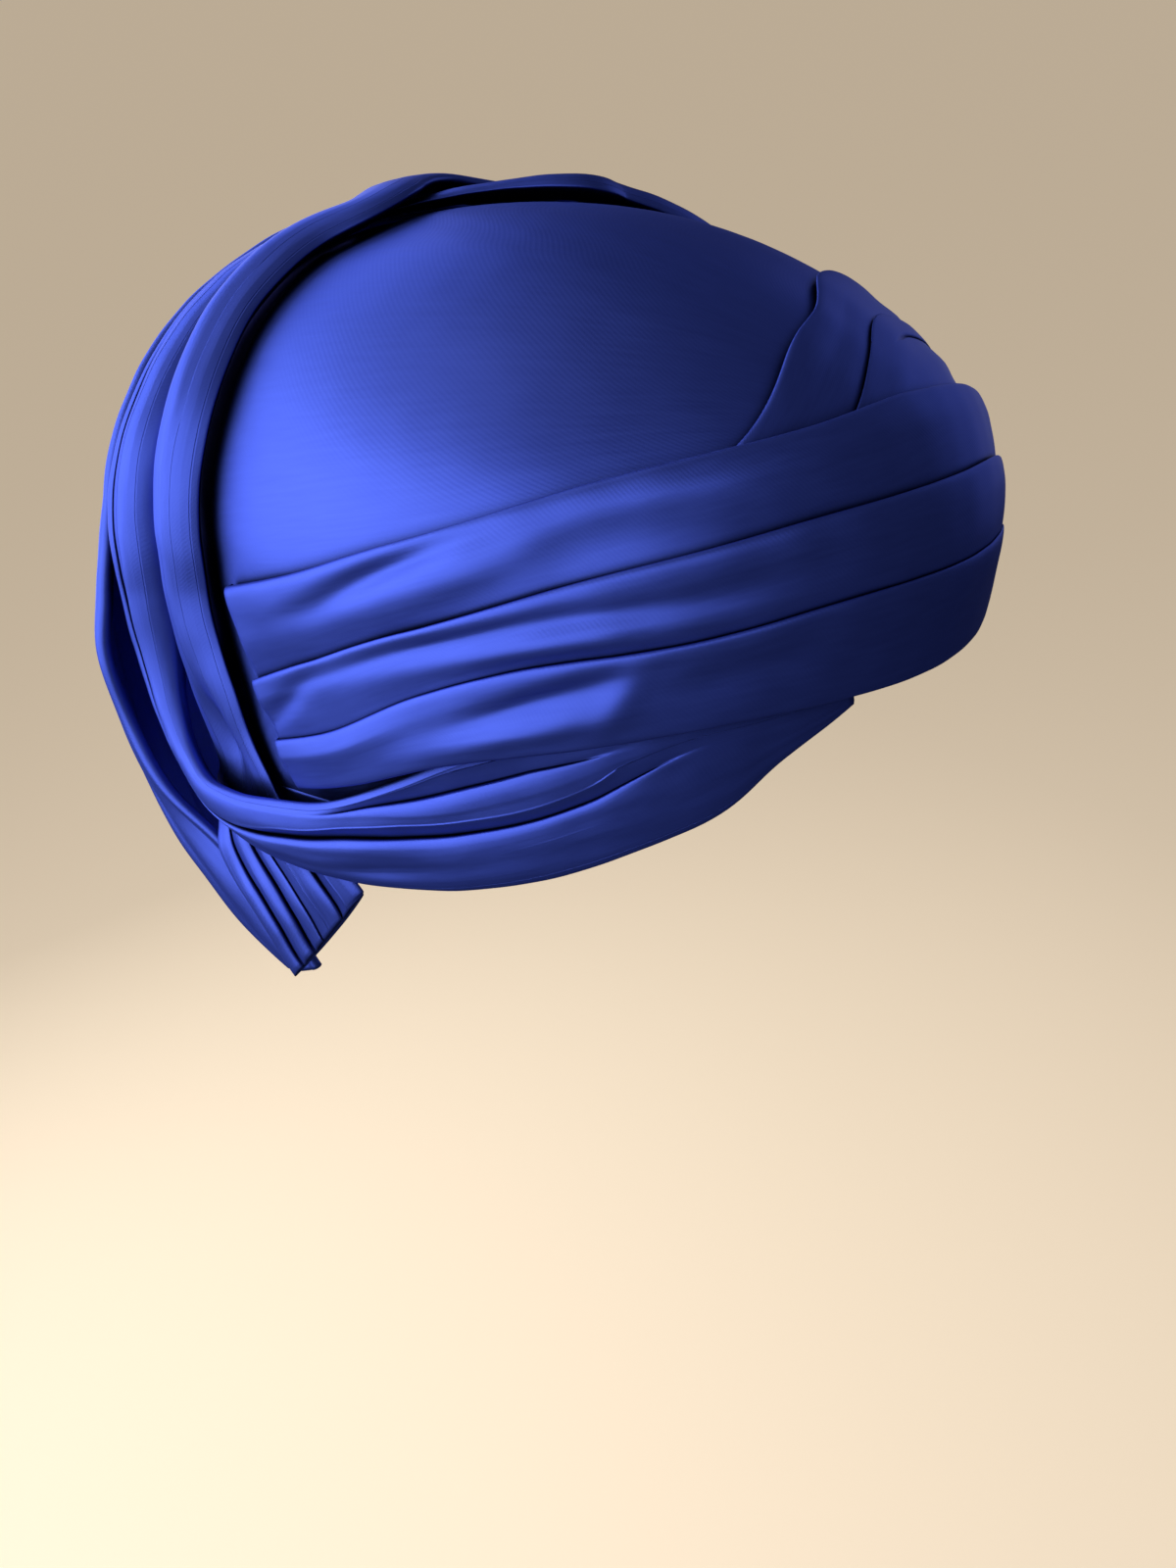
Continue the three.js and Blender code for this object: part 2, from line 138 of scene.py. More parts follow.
def ripple(points, size, seed):
    """Soft unevenness of cloth between about -1 and 1 at points in mm, with waves about size mm long."""
    draw = np.random.default_rng(seed)
    total = np.zeros(points.shape[:-1])
    for _ in range(RIPPLE_WAVES):
        way = draw.normal(size=3)
        way *= 2 * np.pi / (size * draw.uniform(*RIPPLE_SPREAD) * np.linalg.norm(way))
        total += np.sin(points @ way + draw.uniform(0, 2 * np.pi))
    return total / RIPPLE_MOST


print("ripple at the origin, seed 1:", ripple(np.zeros((1, 3)), 10, 1).round(2))

# %% [markdown]
# ## From rows of points to a mesh
# Every piece is a grid: stations along the cloth and points across it. Filling the grid with quads gives
# clean even faces that shade softly. The grid also gives true cloth coordinates in mm, kept as a UV map, so
# that the weave later follows the cloth round every fold instead of being projected through it.

# %% Grid meshes
CLOTH_UV = "cloth_mm"


def cloth(name, grid, ring=False, capped=False):
    """A smooth mesh from a grid of points in mm. A ring joins its last column to its first."""
    count, across = grid.shape[:2]
    i, j = np.meshgrid(np.arange(count - 1), np.arange(across if ring else across - 1), indexing="ij")
    k = (j + 1) % across
    quads = np.stack([i * across + j, i * across + k, (i + 1) * across + k, (i + 1) * across + j], axis=-1)
    faces = quads.reshape(-1, 4).tolist()
    if capped:
        faces.append(list(range(across))[::-1])
        faces.append(list(range((count - 1) * across, count * across)))
    mesh = bpy.data.meshes.new(name)
    mesh.from_pydata((grid.reshape(-1, 3) / 1000).tolist(), [], faces)
    steps = np.linalg.norm(np.diff(grid, axis=0), axis=-1).mean(axis=1)
    along = np.concatenate([[0], np.cumsum(steps)])
    closed = np.concatenate([grid, grid[:, :1]], axis=1)
    over = np.concatenate([[0], np.cumsum(np.linalg.norm(np.diff(closed, axis=1), axis=-1).mean(axis=0))])
    corners = [(i, j), (i, j + 1), (i + 1, j + 1), (i + 1, j)]
    uv = np.stack([np.stack([along[r], over[c]], axis=-1) for r, c in corners], axis=2).reshape(-1, 2)
    uv = np.concatenate([uv, np.zeros((len(mesh.loops) - len(uv), 2))])
    mesh.uv_layers.new(name=CLOTH_UV).data.foreach_set("uv", uv.ravel())
    mesh.shade_smooth()
    piece = bpy.data.objects.new(name, mesh)
    bpy.context.scene.collection.objects.link(piece)
    return piece


def thicken(piece, thick, offset):
    """Gives a single sheet its real thickness."""
    layer = piece.modifiers.new("cloth_thickness", "SOLIDIFY")
    layer.thickness = thick / 1000
    layer.offset = offset
    layer.use_even_offset = False


def measured(piece):
    """Area in square metres and triangles of a finished piece, for the printout."""
    shape = piece.evaluated_get(bpy.context.evaluated_depsgraph_get()).to_mesh()
    area = sum(face.area for face in shape.polygons)
    triangles = sum(len(face.vertices) - 2 for face in shape.polygons)
    return f"{piece.name}: {area:.4f} m2 with both sides, {triangles} triangles"


print("cloth coordinates go in the UV map", CLOTH_UV)

# %% [markdown]
# ## Colour and node helpers
# A screen colour written as hex is sRGB, while shaders work in linear light, so one function turns one into
# the other. Another adds a node: plain settings first, then sockets, which are linked if they come from
# another node and set if they are numbers.

# %% Colour and node helpers


def linear(code):
    """Linear RGBA from an sRGB hex code."""
    parts = [int(code[i:i + 2], 16) / 255 for i in (1, 3, 5)]
    return [v / 12.92 if v <= 0.04045 else ((v + 0.055) / 1.055) ** 2.4 for v in parts] + [1.0]


def node(tree, kind, settings=None, **sockets):
    """Adds a node with its settings, and links or sets its sockets."""
    made = tree.nodes.new(kind)
    for key, value in (settings or {}).items():
        setattr(made, key, value)
    for key, value in sockets.items():
        socket = made.inputs[key.replace("_", " ")]
        if isinstance(value, bpy.types.NodeSocket):
            tree.links.new(value, socket)
        else:
            socket.default_value = value
    return made


print("middle grey in linear light:", np.round(linear("#808080"), 3))

# %% [markdown]
# ## Woven satin
# The cloth is a filament satin: long smooth threads float over several crossing ones, so one side shines in
# broad soft bands while the threads' own dye tints the shine blue. A plain glossy plastic would flash
# white, so the shader is mostly metallic, which colours its reflections, with a middling roughness that
# spreads them along every fold. Light that gets into a deep fold hardly comes out again, so an ambient
# occlusion node finds such places and paints that shade into the colour: the blue sinks there to near black.
# The weave is a fine slanted rib.
# Real ribs stand about 0.3 mm apart, too fine to show in the render, so they are drawn 0.7 mm apart and
# very shallow.

# %% Satin material
RIB_SPACING = 0.7
RIB_DEPTH = 0.02
RIB_SLANT = np.radians(38)
# A wave texture runs through this many radians in each unit of its coordinates
WAVE_RADIANS = 20
SLUB_LENGTH = 9.0
SLUB_WIDTH = 1.1
# Painted shade in the folds: they darken where neighbours within these mm shut the light out, between these
# open shares
FOLD_DARK = 8.0
FOLD_SHUT = 0.40
FOLD_OPEN = 0.82
FOLD_LIGHT = 0.02
PAINTED_FOLD_SHADE = "#02030C"


def satin(name, deep, bright):
    """Filament satin between two blues, with slanted ribs, uneven threads and painted shade in deep folds."""
    material = bpy.data.materials.new(name)
    material.use_nodes = True
    tree = material.node_tree
    tree.nodes.clear()
    coords = node(tree, "ShaderNodeUVMap", {"uv_map": CLOTH_UV}).outputs["UV"]
    slanted = node(tree, "ShaderNodeMapping", Vector=coords, Rotation=(0, 0, RIB_SLANT))
    threads = node(tree, "ShaderNodeMapping", Vector=coords, Scale=(1 / SLUB_LENGTH, 1 / SLUB_WIDTH, 1))
    ribs = node(tree, "ShaderNodeTexWave", {"wave_type": "BANDS", "bands_direction": "X"},
                Vector=slanted.outputs["Vector"], Scale=2 * np.pi / (WAVE_RADIANS * RIB_SPACING),
                Distortion=0.6, Detail=1.0)
    slubs = node(tree, "ShaderNodeTexNoise", Vector=threads.outputs["Vector"], Scale=1.0, Detail=2.0)
    dyed = node(tree, "ShaderNodeMix", {"data_type": "RGBA"}, Factor=slubs.outputs["Fac"],
                A=linear(deep), B=linear(bright))
    # Painted shade: where ambient occlusion finds a deep fold, the base colour sinks to near black
    depth = node(tree, "ShaderNodeAmbientOcclusion", {"samples": 8}, Distance=FOLD_DARK / 1000)
    lit = node(tree, "ShaderNodeMapRange", Value=depth.outputs["AO"], From_Min=FOLD_SHUT, From_Max=FOLD_OPEN,
               To_Min=FOLD_LIGHT)
    shade = node(tree, "ShaderNodeMix", {"data_type": "RGBA"}, Factor=lit.outputs["Result"],
                 A=linear(PAINTED_FOLD_SHADE), B=dyed.outputs["Result"])
    rough = node(tree, "ShaderNodeMapRange", Value=slubs.outputs["Fac"], To_Min=0.43, To_Max=0.50)
    bump = node(tree, "ShaderNodeBump", Strength=0.35, Distance=RIB_DEPTH / 1000, Height=ribs.outputs["Fac"])
    surface = node(tree, "ShaderNodeBsdfPrincipled", Base_Color=shade.outputs["Result"],
                   Roughness=rough.outputs["Result"], Normal=bump.outputs["Normal"], Metallic=0.85, IOR=1.5,
                   Specular_IOR_Level=0.3, Specular_Tint=linear("#B0B8F0"))
    node(tree, "ShaderNodeOutputMaterial", Surface=surface.outputs["BSDF"])
    return material


ROYAL_SATIN = satin("royal_blue_satin_woven", "#3E51BC", "#485DCB")
print("material:", ROYAL_SATIN.name, "with ribs", RIB_SPACING, "mm apart")

# %% [markdown]
# ## Dressing a piece
# Every piece of the hat is the same satin, and each needs three more things: the satin in its material slot,
# the body it moves with, and the solid it stands for hidden away. One function does all of it, so that no
# piece can miss a part.

# %% Dress a piece


def dress(piece, cad_node):
    """Finishes a piece: satin, the body it rides on, the solid it stands for hidden, and its size printed."""
    piece.data.materials.append(ROYAL_SATIN)
    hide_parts(cad_node)
    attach(piece, "root")
    print(measured(piece))


print("every piece is dressed in", ROYAL_SATIN.name)

# %% [markdown]
# ## Left and right
# The twist comes down further forward on the left than on the right, so the left side isn't a plain mirror
# image. A short table says by how many degrees it leans forward at each height, and one function turns a
# place on the right into its partner on the left. High up, the left strands also lie a little higher.

# %% Lean of the left side
LEFT_LEAN = table("height lean", (-60, 0), (-35, 14), (-10, 22), (10, 25), (30, 31), (55, 38))
# The lean sets in behind this turn, and is gone again at the middle of the back
LEAN_FROM = 90
LEAN_GROWS = 20
MID_BACK = 180
LEAN_FADES = 25
LEFT_RAISE = 1.8
RAISE_FROM = 25
RAISE_GROWS = 15


def left_turn(turn, height):
    """The turn, measured to the left, of the partner of a place on the right."""
    fade = ramp(turn - LEAN_FROM, LEAN_GROWS) * ramp(MID_BACK - turn, LEAN_FADES)
    return turn - fade * np.interp(height, LEFT_LEAN["height"], LEFT_LEAN["lean"])


def leaned(rows):
    """Rows of a strand, drawn forward and a little up as on the left."""
    left = []
    for turn, height, *rest in rows:
        raised = height + LEFT_RAISE * float(ramp(height - RAISE_FROM, RAISE_GROWS))
        left.append((float(left_turn(turn, height)), raised, *rest))
    return left


print("a place at turn 115 and height 0 has its partner at", left_turn(115.0, 0.0), "on the left")

# %% [markdown]
# ## Rows of the twist
# Each strand of the twist is a strip of satin gathered into a roll. It starts flat at the front rim, sweeps
# along the rim as two folds, turns up the back edge, crosses the other strand at the top, and comes down
# the far side beside the crown to fan out in a tail. Its rows come before the crown, because the crown's
# lip follows them.

# %% Strand tables
STRAND_COLUMNS = "turn height lift wide thick"
OUTER_STRAND = [
    (21, -15, 0.5, 5, 1.0), (32, -19, 0.7, 14, 1.6), (42, -24, 0.8, 26, 2.2), (53, -30, 0.8, 30, 2.6),
    (64, -37, 0.9, 32, 3.0), (76, -46, 1.2, 27, 4.2), (88, -53, 3.0, 20, 5.2), (98, -56, 5.2, 16, 5.6),
    (106, -57.5, 7.0, 12, 5.2), (113, -56.5, 8.5, 8.5, 5.0), (118.5, -51, 8.5, 8, 5.5),
    (122.5, -41.5, 7, 9.5, 8), (125, -30, 4.0, 13, 11.5), (126, -17, 2.2, 16, 13.5), (126, -4, 1.8, 17, 13.5),
    (127.5, 9, 1.4, 17, 11.5), (132, 20, 1.2, 16.5, 9), (139, 30, 1.1, 16, 7.5), (148, 38, 1.0, 15, 6.5),
    (158, 43.5, 0.9, 14.5, 5.2),
]
INNER_STRAND = [
    (155, 50, 1.2, 13, 6.0), (145, 46.5, 1.1, 12.5, 7.0), (135, 42, 1.1, 12, 7.5),
    (127, 36, 1.1, 12, 8.0), (121.2, 29.5, 1.1, 12, 8.2), (117, 21.5, 1.2, 12, 8.5),
    (114.7, 11, 1.2, 12, 8.5), (114, 0, 1.2, 11.5, 8.5), (114.5, -11, 1.2, 12, 8.5),
    (114, -22, 1.2, 14, 8.0), (113, -33, 1.1, 17, 7.0), (112, -43, 1.0, 18, 5.5),
    (110.5, -52, 0.9, 21, 4.0), (109, -59, 0.9, 26, 3.8), (105.5, -65, 0.9, 32, 4.4),
    (100.5, -71, 1.0, 34, 5.0), (97, -77, 1.3, 35, 5.0), (94.8, -83.6, 1.8, 33.5, 4.5),
]
CROSS_UNDER = [(168, 47, 0.9, 14, 3.4), (180, 49.5, 0.9, 14, 2.6), (208, 51.5, 0.9, 14, 4.0)]
CROSS_OVER = [(155, 47.5, 4.4, 15, 4.6), (180, 50.3, 3.6, 16, 4.6), (192, 51, 2.6, 16, 5.2)]


def far_side(rows):
    """Rows of one side, with their turns counted on round the back."""
    return [(360 - turn, *rest) for turn, *rest in rows]


def across_back(near, cross, far, hand):
    """A whole strand, from the rim on one side round the back to the other's tail. Hand -1 starts left."""
    return table(STRAND_COLUMNS, *[(hand * turn, *rest) for turn, *rest in near + cross + far_side(far)])


UNDER_ROWS = across_back(OUTER_STRAND, CROSS_UNDER, leaned(INNER_STRAND), 1)
OVER_ROWS = across_back(leaned(OUTER_STRAND), CROSS_OVER, INNER_STRAND, -1)
print("rows in each strand:", len(UNDER_ROWS["turn"]))

# %% [markdown]
# ## Crown
# The crown is satin stretched over a stiffened base, so it is the one smooth form here: a wall 2 mm thick,
# open below and cut away at the back. It could be a sculpted sphere, but its edge is a long swerving line,
# so rings are drawn from a middle point out to that edge. The middle is tilted to the front, where a drape
# covers it, and a bearing says which way round it a place lies and how far out.

# %% Crown edge
CROWN_TILT = np.radians(62)
CROWN_EDGE = table(
    "turn height",
    (0, -12), (25, -14), (45, -32), (60, -46), (75, -54), (90, -58), (105, -63), (117, -68), (128, -70),
    (138, -64), (145, -50), (147, -30), (147.5, -8), (148.5, 6), (151, 15), (156, 24), (163, 31.5),
    (171, 36.5), (180, 38.3),
)
EDGE_STEPS = 8
LEAST_STEP = 1e-5


def tipped(x, y, z, angle):
    """Directions turned about the X axis."""
    return x, y * np.cos(angle) - z * np.sin(angle), y * np.sin(angle) + z * np.cos(angle)


def bearing(x, y, z):
    """The way round the crown's middle and the angle out from it, for directions on the unit ball."""
    x, y, z = tipped(x, y, z, -CROWN_TILT)
    return np.arctan2(-x, -y), np.arccos(np.clip(z, -1, 1))


def edge_bearing(rows):
    """Bearings of the smooth edge through rows of turn and height."""
    edge = stations(rows, EDGE_STEPS)[1]
    level = edge["height"] / np.where(edge["height"] >= 0, CROWN_RISE, SKIRT_RISE)
    spread = np.sqrt(np.maximum(1 - level**2, 0))
    angle = np.radians(edge["turn"])
    return bearing(-spread * np.sin(angle), -spread * np.cos(angle), level)


def onward(angles):
    """Angles that never step back. Where an edge doubles back, it steps straight out instead."""
    return np.maximum.accumulate(angles) + LEAST_STEP * np.arange(len(angles))


left_rows = {"turn": left_turn(CROWN_EDGE["turn"], CROWN_EDGE["height"]), "height": CROWN_EDGE["height"]}
right_round, right_out = edge_bearing(CROWN_EDGE)
left_round, left_out = edge_bearing(left_rows)
left_round = onward(np.abs(left_round))
print("the edge lies", np.degrees([right_out.min(), right_out.max()]).round(), "degrees out on the right")

# %% [markdown]
# ## Lip of the crown
# Beside the twist the crown's face turns in sharply to a groove, which is the black line seen there. The
# lip where it turns follows the strand that lies next to the crown, from low on the right over the top to
# low on the left, and is tucked a little way under it.

# %% Crown lip
LIP_UNDER = 2.0
LIP_ROWS = 11
LIP_TOP = (180, 51, 0, 12, 0)

beside_crown = INNER_STRAND[:LIP_ROWS]
lip_rows = beside_crown[::-1] + [LIP_TOP] + far_side(leaned(beside_crown))
lip_path = stations(table(STRAND_COLUMNS, *lip_rows), EDGE_STEPS)[1]
lip_at, lip_out_way = place(lip_path["turn"], lip_path["height"], np.zeros(len(lip_path["turn"])))
lip_side = unit(np.cross(lip_out_way, np.gradient(lip_at, axis=0)))
lip_at = lip_at - lip_side * (lip_path["wide"][:, None] / 2 - LIP_UNDER)
on_ball = lip_at + np.array([0, 0, SEAT])
on_ball[:, 0] /= HALF_WIDTH
on_ball[:, 1] /= np.where(on_ball[:, 1] < 0, FRONT_LENGTH, BACK_LENGTH)
on_ball[:, 2] /= np.where(on_ball[:, 2] >= 0, CROWN_RISE, SKIRT_RISE)
lip_round, lip_out = bearing(*unit(on_ball).T)
lip_round = onward(np.unwrap(lip_round))
print("lip runs round the middle from", np.degrees(lip_round[[0, -1]]).round(), "degrees")

# %% [markdown]
# ## Rings of the crown
# The rings run out over the face to the lip, round it and down into the groove, then on under the twist to
# the rim, and back along the inside. One closed grid like this is the whole wall, so it needs no modifier.
# Slight unevenness is left in the face, because stretched satin shows every small wave in its shine.

# %% Crown rings
WALL = 2.0
GROOVE = 4.5
GROOVE_WIDE = 7.0
# Shares of the groove's depth on its steep wall, and how soon the inside follows it, for each radian
GROOVE_WALL = (0.45, 0.75, 0.93)
GROOVE_INSIDE = 9
LIP_ROUND = 1.0
LIP_MOST = 0.93
# The groove's wall falls this many mm past the rounded lip, and its floor starts a little further out
GROOVE_FALLS = 0.1
GROOVE_FLOOR = 0.6
LIP_FADE = np.radians(6)
MM_PER_RADIAN = 75.0
CROWN_COLUMNS = 300
FACE_RINGS = 64
LIP_RINGS = 5
UNDER_RINGS = 25
RIM_RINGS = 5
INSIDE_RINGS = 40
# The first ring is this share of the way out, since rings can't close to a point
MIDDLE_SHARE = 0.003


def groove_share(past_lip):
    """How deep the groove still is at angles past the lip."""
    return np.clip(1 - past_lip * MM_PER_RADIAN / GROOVE_WIDE, 0, 1) ** 2


way_round = np.linspace(0, 2 * np.pi, CROWN_COLUMNS, endpoint=False)
signed = (way_round + np.pi) % (2 * np.pi) - np.pi
reach = np.where(signed >= 0, np.interp(np.abs(signed), right_round, right_out),
                 np.interp(np.abs(signed), left_round, left_out))
lip_reach = np.minimum(np.interp(way_round, lip_round, lip_out), LIP_MOST * reach)
has_lip = ramp(way_round - lip_round.min(), LIP_FADE) * ramp(lip_round.max() - way_round, LIP_FADE)
groove_wall = lip_reach + (LIP_ROUND + GROOVE_FALLS) / MM_PER_RADIAN
groove_floor = lip_reach + (LIP_ROUND + GROOVE_FLOOR) / MM_PER_RADIAN

# Each ring is its angles out from the middle and its lifts
rings = [(share * lip_reach, 0 * reach) for share in np.linspace(MIDDLE_SHARE, 1, FACE_RINGS)]
for angle in np.linspace(0, np.pi / 2, LIP_RINGS + 1)[1:]:
    out_angle = lip_reach + LIP_ROUND * np.sin(angle) / MM_PER_RADIAN
    rings.append((out_angle, -has_lip * LIP_ROUND * (1 - np.cos(angle))))
rings += [(groove_wall, -has_lip * GROOVE * depth) for depth in GROOVE_WALL]
for share in np.linspace(0, 1, UNDER_RINGS + 1)[1:]:
    past_wall = (reach - groove_floor) * share
    rings.append((groove_floor + past_wall, -has_lip * GROOVE * groove_share(past_wall)))
for angle in np.linspace(0, np.pi, RIM_RINGS + 2)[1:-1]:
    out_angle = reach + WALL / 2 * np.sin(angle) / MM_PER_RADIAN
    rings.append((out_angle, -WALL / 2 * (1 - np.cos(angle)) + 0 * reach))
for share in np.linspace(1, MIDDLE_SHARE, INSIDE_RINGS):
    past_lip = share * reach - lip_reach
    before_lip = np.clip(1 + past_lip * GROOVE_INSIDE, 0, 1)
    dip = np.where(past_lip > 0, groove_share(past_lip), before_lip)
    rings.append((share * reach, -WALL - has_lip * GROOVE * dip))
print("rings in the crown's wall:", len(rings))

# %% [markdown]
# ## Crown mesh
# The rings still lie on a unit ball round the tilted middle. Turned upright and stretched to the block's
# three sizes, they become the crown. Two waves of unevenness, one long and one short, keep it from looking
# moulded.

# %% Crown mesh
# Depth and length in mm of each wave of unevenness, and its seed
CROWN_WAVES = ((0.14, 26, 1), (0.03, 9, 2))
CROWN_SET_IN = 0.1


def crown_point(round_angle, out_angle, lift):
    """A point of the crown, by the way round its tilted middle and the angle out from it."""
    x = -np.sin(out_angle) * np.sin(round_angle)
    y = -np.sin(out_angle) * np.cos(round_angle)
    x, y, z = tipped(x, y, np.cos(out_angle), CROWN_TILT)
    height = z * np.where(z >= 0, CROWN_RISE, SKIRT_RISE)
    return place(np.degrees(np.arctan2(-x, -y)), height, lift)


ring_out, ring_lift = np.array(rings).transpose(1, 0, 2)
crown_grid, crown_normal = crown_point(np.broadcast_to(way_round, ring_out.shape), ring_out, ring_lift)
uneven = sum(deep * ripple(crown_grid, size, seed) for deep, size, seed in CROWN_WAVES) - CROWN_SET_IN
crown_grid = crown_grid + crown_normal * uneven[..., None]
crown = cloth("crown_shell", crown_grid, ring=True, capped=True)
dress(crown, "crown")

# %% [markdown]
# ## Pleated drapes
# Each drape is one strip of satin laid in three knife pleats, which run from the twist at one side of the
# back round over the front. A pleat rises behind its fold edge, rolls over, lies down over the next one and
# turns back under it. A flat strip with a bump map could never show the dark line under each fold, so the
# cross-section is drawn as the cloth really goes, hidden returns included, and carried along the drape.

# %% Pleat section
# One pleat from behind its fold to under the next: mm below the fold, share of the pleat's width,
# lift as a share of the way from the layer under it to the proud fold, and how far it is face
FOLD_LINE = [
    (6.0, 0.0, 0.00, 0), (2.2, 0.0, 0.05, 0), (0.6, 0.0, 0.22, 0), (0.0, 0.0, 0.55, 0.1),
    (0.3, 0.0, 0.86, 0.3), (1.3, 0.0, 1.02, 0.6), (2.6, 0.06, 1.02, 1), (1.5, 0.25, 0.92, 1),
]
LAP_LINE = [
    (0.0, 0.5, 0.70, 1), (0.0, 0.75, 0.42, 1), (0.0, 1.0, 0.10, 0.6), (3.6, 1.0, -0.10, 0),
    (5.2, 1.0, -0.12, 0),
]
HEM_LINE = [
    (0.0, 0.5, 0.78, 1), (-2.0, 0.9, 0.66, 1), (-0.5, 1.0, 0.50, 0.5), (0.0, 1.0, 0.20, 0),
    (-1.2, 1.0, 0.02, 0), (-5.0, 1.0, 0.0, 0),
]
LINE_COLUMNS = "fixed share rise face"
PLEAT_LINES = [table(LINE_COLUMNS, *FOLD_LINE, *rest) for rest in (LAP_LINE, LAP_LINE, HEM_LINE)]
PLEATS = len(PLEAT_LINES)
SECTION_STEPS = 3
section_points = [SECTION_STEPS * (len(line["fixed"]) - 1) + 1 for line in PLEAT_LINES]
print("points over a drape's pleats:", sum(section_points))

# %% [markdown]
# ## Rows of the drapes
# A row gives the heights of the three folds and the lowest edge at one turn, how far the lowest edge runs
# ahead of the first, the drape's lift off the crown, and an extra lift at the lowest edge. The right drape
# crosses over the left one at the front, so there it lies higher.

# %% Drape tables
DRAPE_COLUMNS = "turn first second third lowest lean lift tuck"
RIGHT_DRAPE = table(
    DRAPE_COLUMNS,
    (107, -6.5, -25.5, -37, -46, -10, 0.9, 1.5), (95, 2.2, -13.9, -26.6, -36.7, -10, 0.9, 2.6),
    (80, 13.1, -1.4, -13.2, -26.9, -7, 0.9, 3.0), (60, 23.3, 9.6, -2.7, -19.7, 0, 1.6, 2.8),
    (42, 28.4, 16, 3, -14.3, 0, 3.0, 1.0), (24, 30.7, 19.4, 6.1, -12.9, 0, 3.1, -0.3),
    (2, 31.3, 18.7, 5.5, -14.5, 0, 3.1, -1.1), (-18, 27.5, 15, 2, -17, 0, 3.1, -1.1),
    (-38, 16, 4.5, -7, -19, 16, 3.3, -1.1), (-56, 0, -13, -19, -20, 32, 4.4, -1.7),
    (-66, -21, -28, -27, -21, 41, 5.3, -2.4), (-71, -40, -39, -32, -21, 45, 5.8, -2.9),
    (-73, -56, -47, -35, -22, 48, 5.8, -2.9),
)
LEFT_DRAPE = table(
    DRAPE_COLUMNS,
    (-82, 15, -1, -15, -30, -4, 0.7, 2.6), (-71, 27, 11, -4, -22, -1, 0.7, 1.5),
    (-60, 35, 20, 4, -14, 0, 0.7, 0), (-40, 43.5, 32, 18, 0, 0, 0.7, 0), (-20, 46.8, 40, 29, 9, 0, 0.7, 0),
    (0, 44.7, 37.7, 25, 6, 0, 0.7, 0), (18, 40.6, 29.5, 16, 0, 0, 0.7, 0), (36, 29.8, 17, 4, -8, 0, 0.7, 0),
)
print("rows in the right and left drape:", len(RIGHT_DRAPE["turn"]), len(LEFT_DRAPE["turn"]))

# %% [markdown]
# ## Pulls in the pleats
# Satin that is pulled round a form never lies flat: long shallow valleys and ridges run where it is tight.
# Each is a row here: the pleat, where its middle lies, how long and wide it is, how deep, and how much it
# slants. They are set one by one where the real hat shows them, and none is deep enough to meet the layer
# below.

# %% Pulls
PULL_COLUMNS = "pleat turn share long wide deep slant"
RIGHT_PULLS = table(
    PULL_COLUMNS,
    (0, 80, 0.25, 15, 2.6, -1.9, 0.15), (0, 70, 0.52, 14, 3.0, 1.1, 0.05),
    (0, 52, 0.62, 14, 4.0, -1.1, -0.10), (0, 38, 0.45, 20, 4.0, 0.5, 0.0),
    (0, 100, 0.60, 14, 4.0, 0.5, 0.0), (1, 68, 0.34, 34, 2.6, -1.5, -0.07),
    (1, 97, 0.50, 8, 3.0, -1.0, 0.5), (1, 58, 0.66, 26, 2.6, 1.2, -0.07),
    (1, 36, 0.46, 20, 3.5, -0.6, 0.0), (2, 60, 0.38, 16, 3.0, -1.3, 0.20),
    (2, 64, 0.68, 18, 3.0, 1.4, 0.05), (2, 51.5, 0.42, 5.5, 6.0, 0.6, 1.4),
    (2, 38, 0.40, 14, 4.0, -0.8, 0.1), (2, 88, 0.38, 16, 3.4, 0.7, 0.0),
)
LEFT_PULLS = table(
    PULL_COLUMNS,
    (0, -58, 0.35, 24, 3.0, -0.8, 0.1), (0, -56, 0.65, 24, 3.0, 0.6, 0.1), (1, -62, 0.40, 26, 3.0, -0.8, 0.0),
    (1, -40, 0.60, 24, 3.0, 0.6, 0.1), (2, -62, 0.45, 24, 3.0, -0.8, -0.2), (0, 4, 0.45, 24, 3.4, -0.4, 0.0),
    (1, 8, 0.5, 24, 3.4, 0.4, 0.1),
)
MM_PER_DEGREE = 1.42


def pulled(pulls, number, along, share, width):
    """How far in mm the pulls of one pleat raise its face."""
    raised = np.zeros_like(along)
    for i in np.flatnonzero(pulls["pleat"] == number):
        far = (along - pulls["turn"][i]) * MM_PER_DEGREE
        off = (share - pulls["share"][i]) * width - pulls["slant"][i] * far
        raised += pulls["deep"][i] * np.exp(-(far / pulls["long"][i]) ** 2 - (off / pulls["wide"][i]) ** 2)
    return raised


print("pulls in the right and left drape:", len(RIGHT_PULLS["deep"]), len(LEFT_PULLS["deep"]))

# %% [markdown]
# ## One pleat
# The section is carried along the drape: at each station it is stretched to the width between two folds,
# stood up to the height of the fold, and given its pulls. Turn, height and lift stay apart until the end,
# because the block then bends all of it round at once.

# %% One pleat
# Lift of the layer under each pleat
PLEAT_BASE = (0.35, 1.25, 1.25)
# The folds lie flatter round at the left of the front: turns and shares of their usual stand
FLATTER = ((-80, -20, 25), (0.6, 0.6, 1.0))


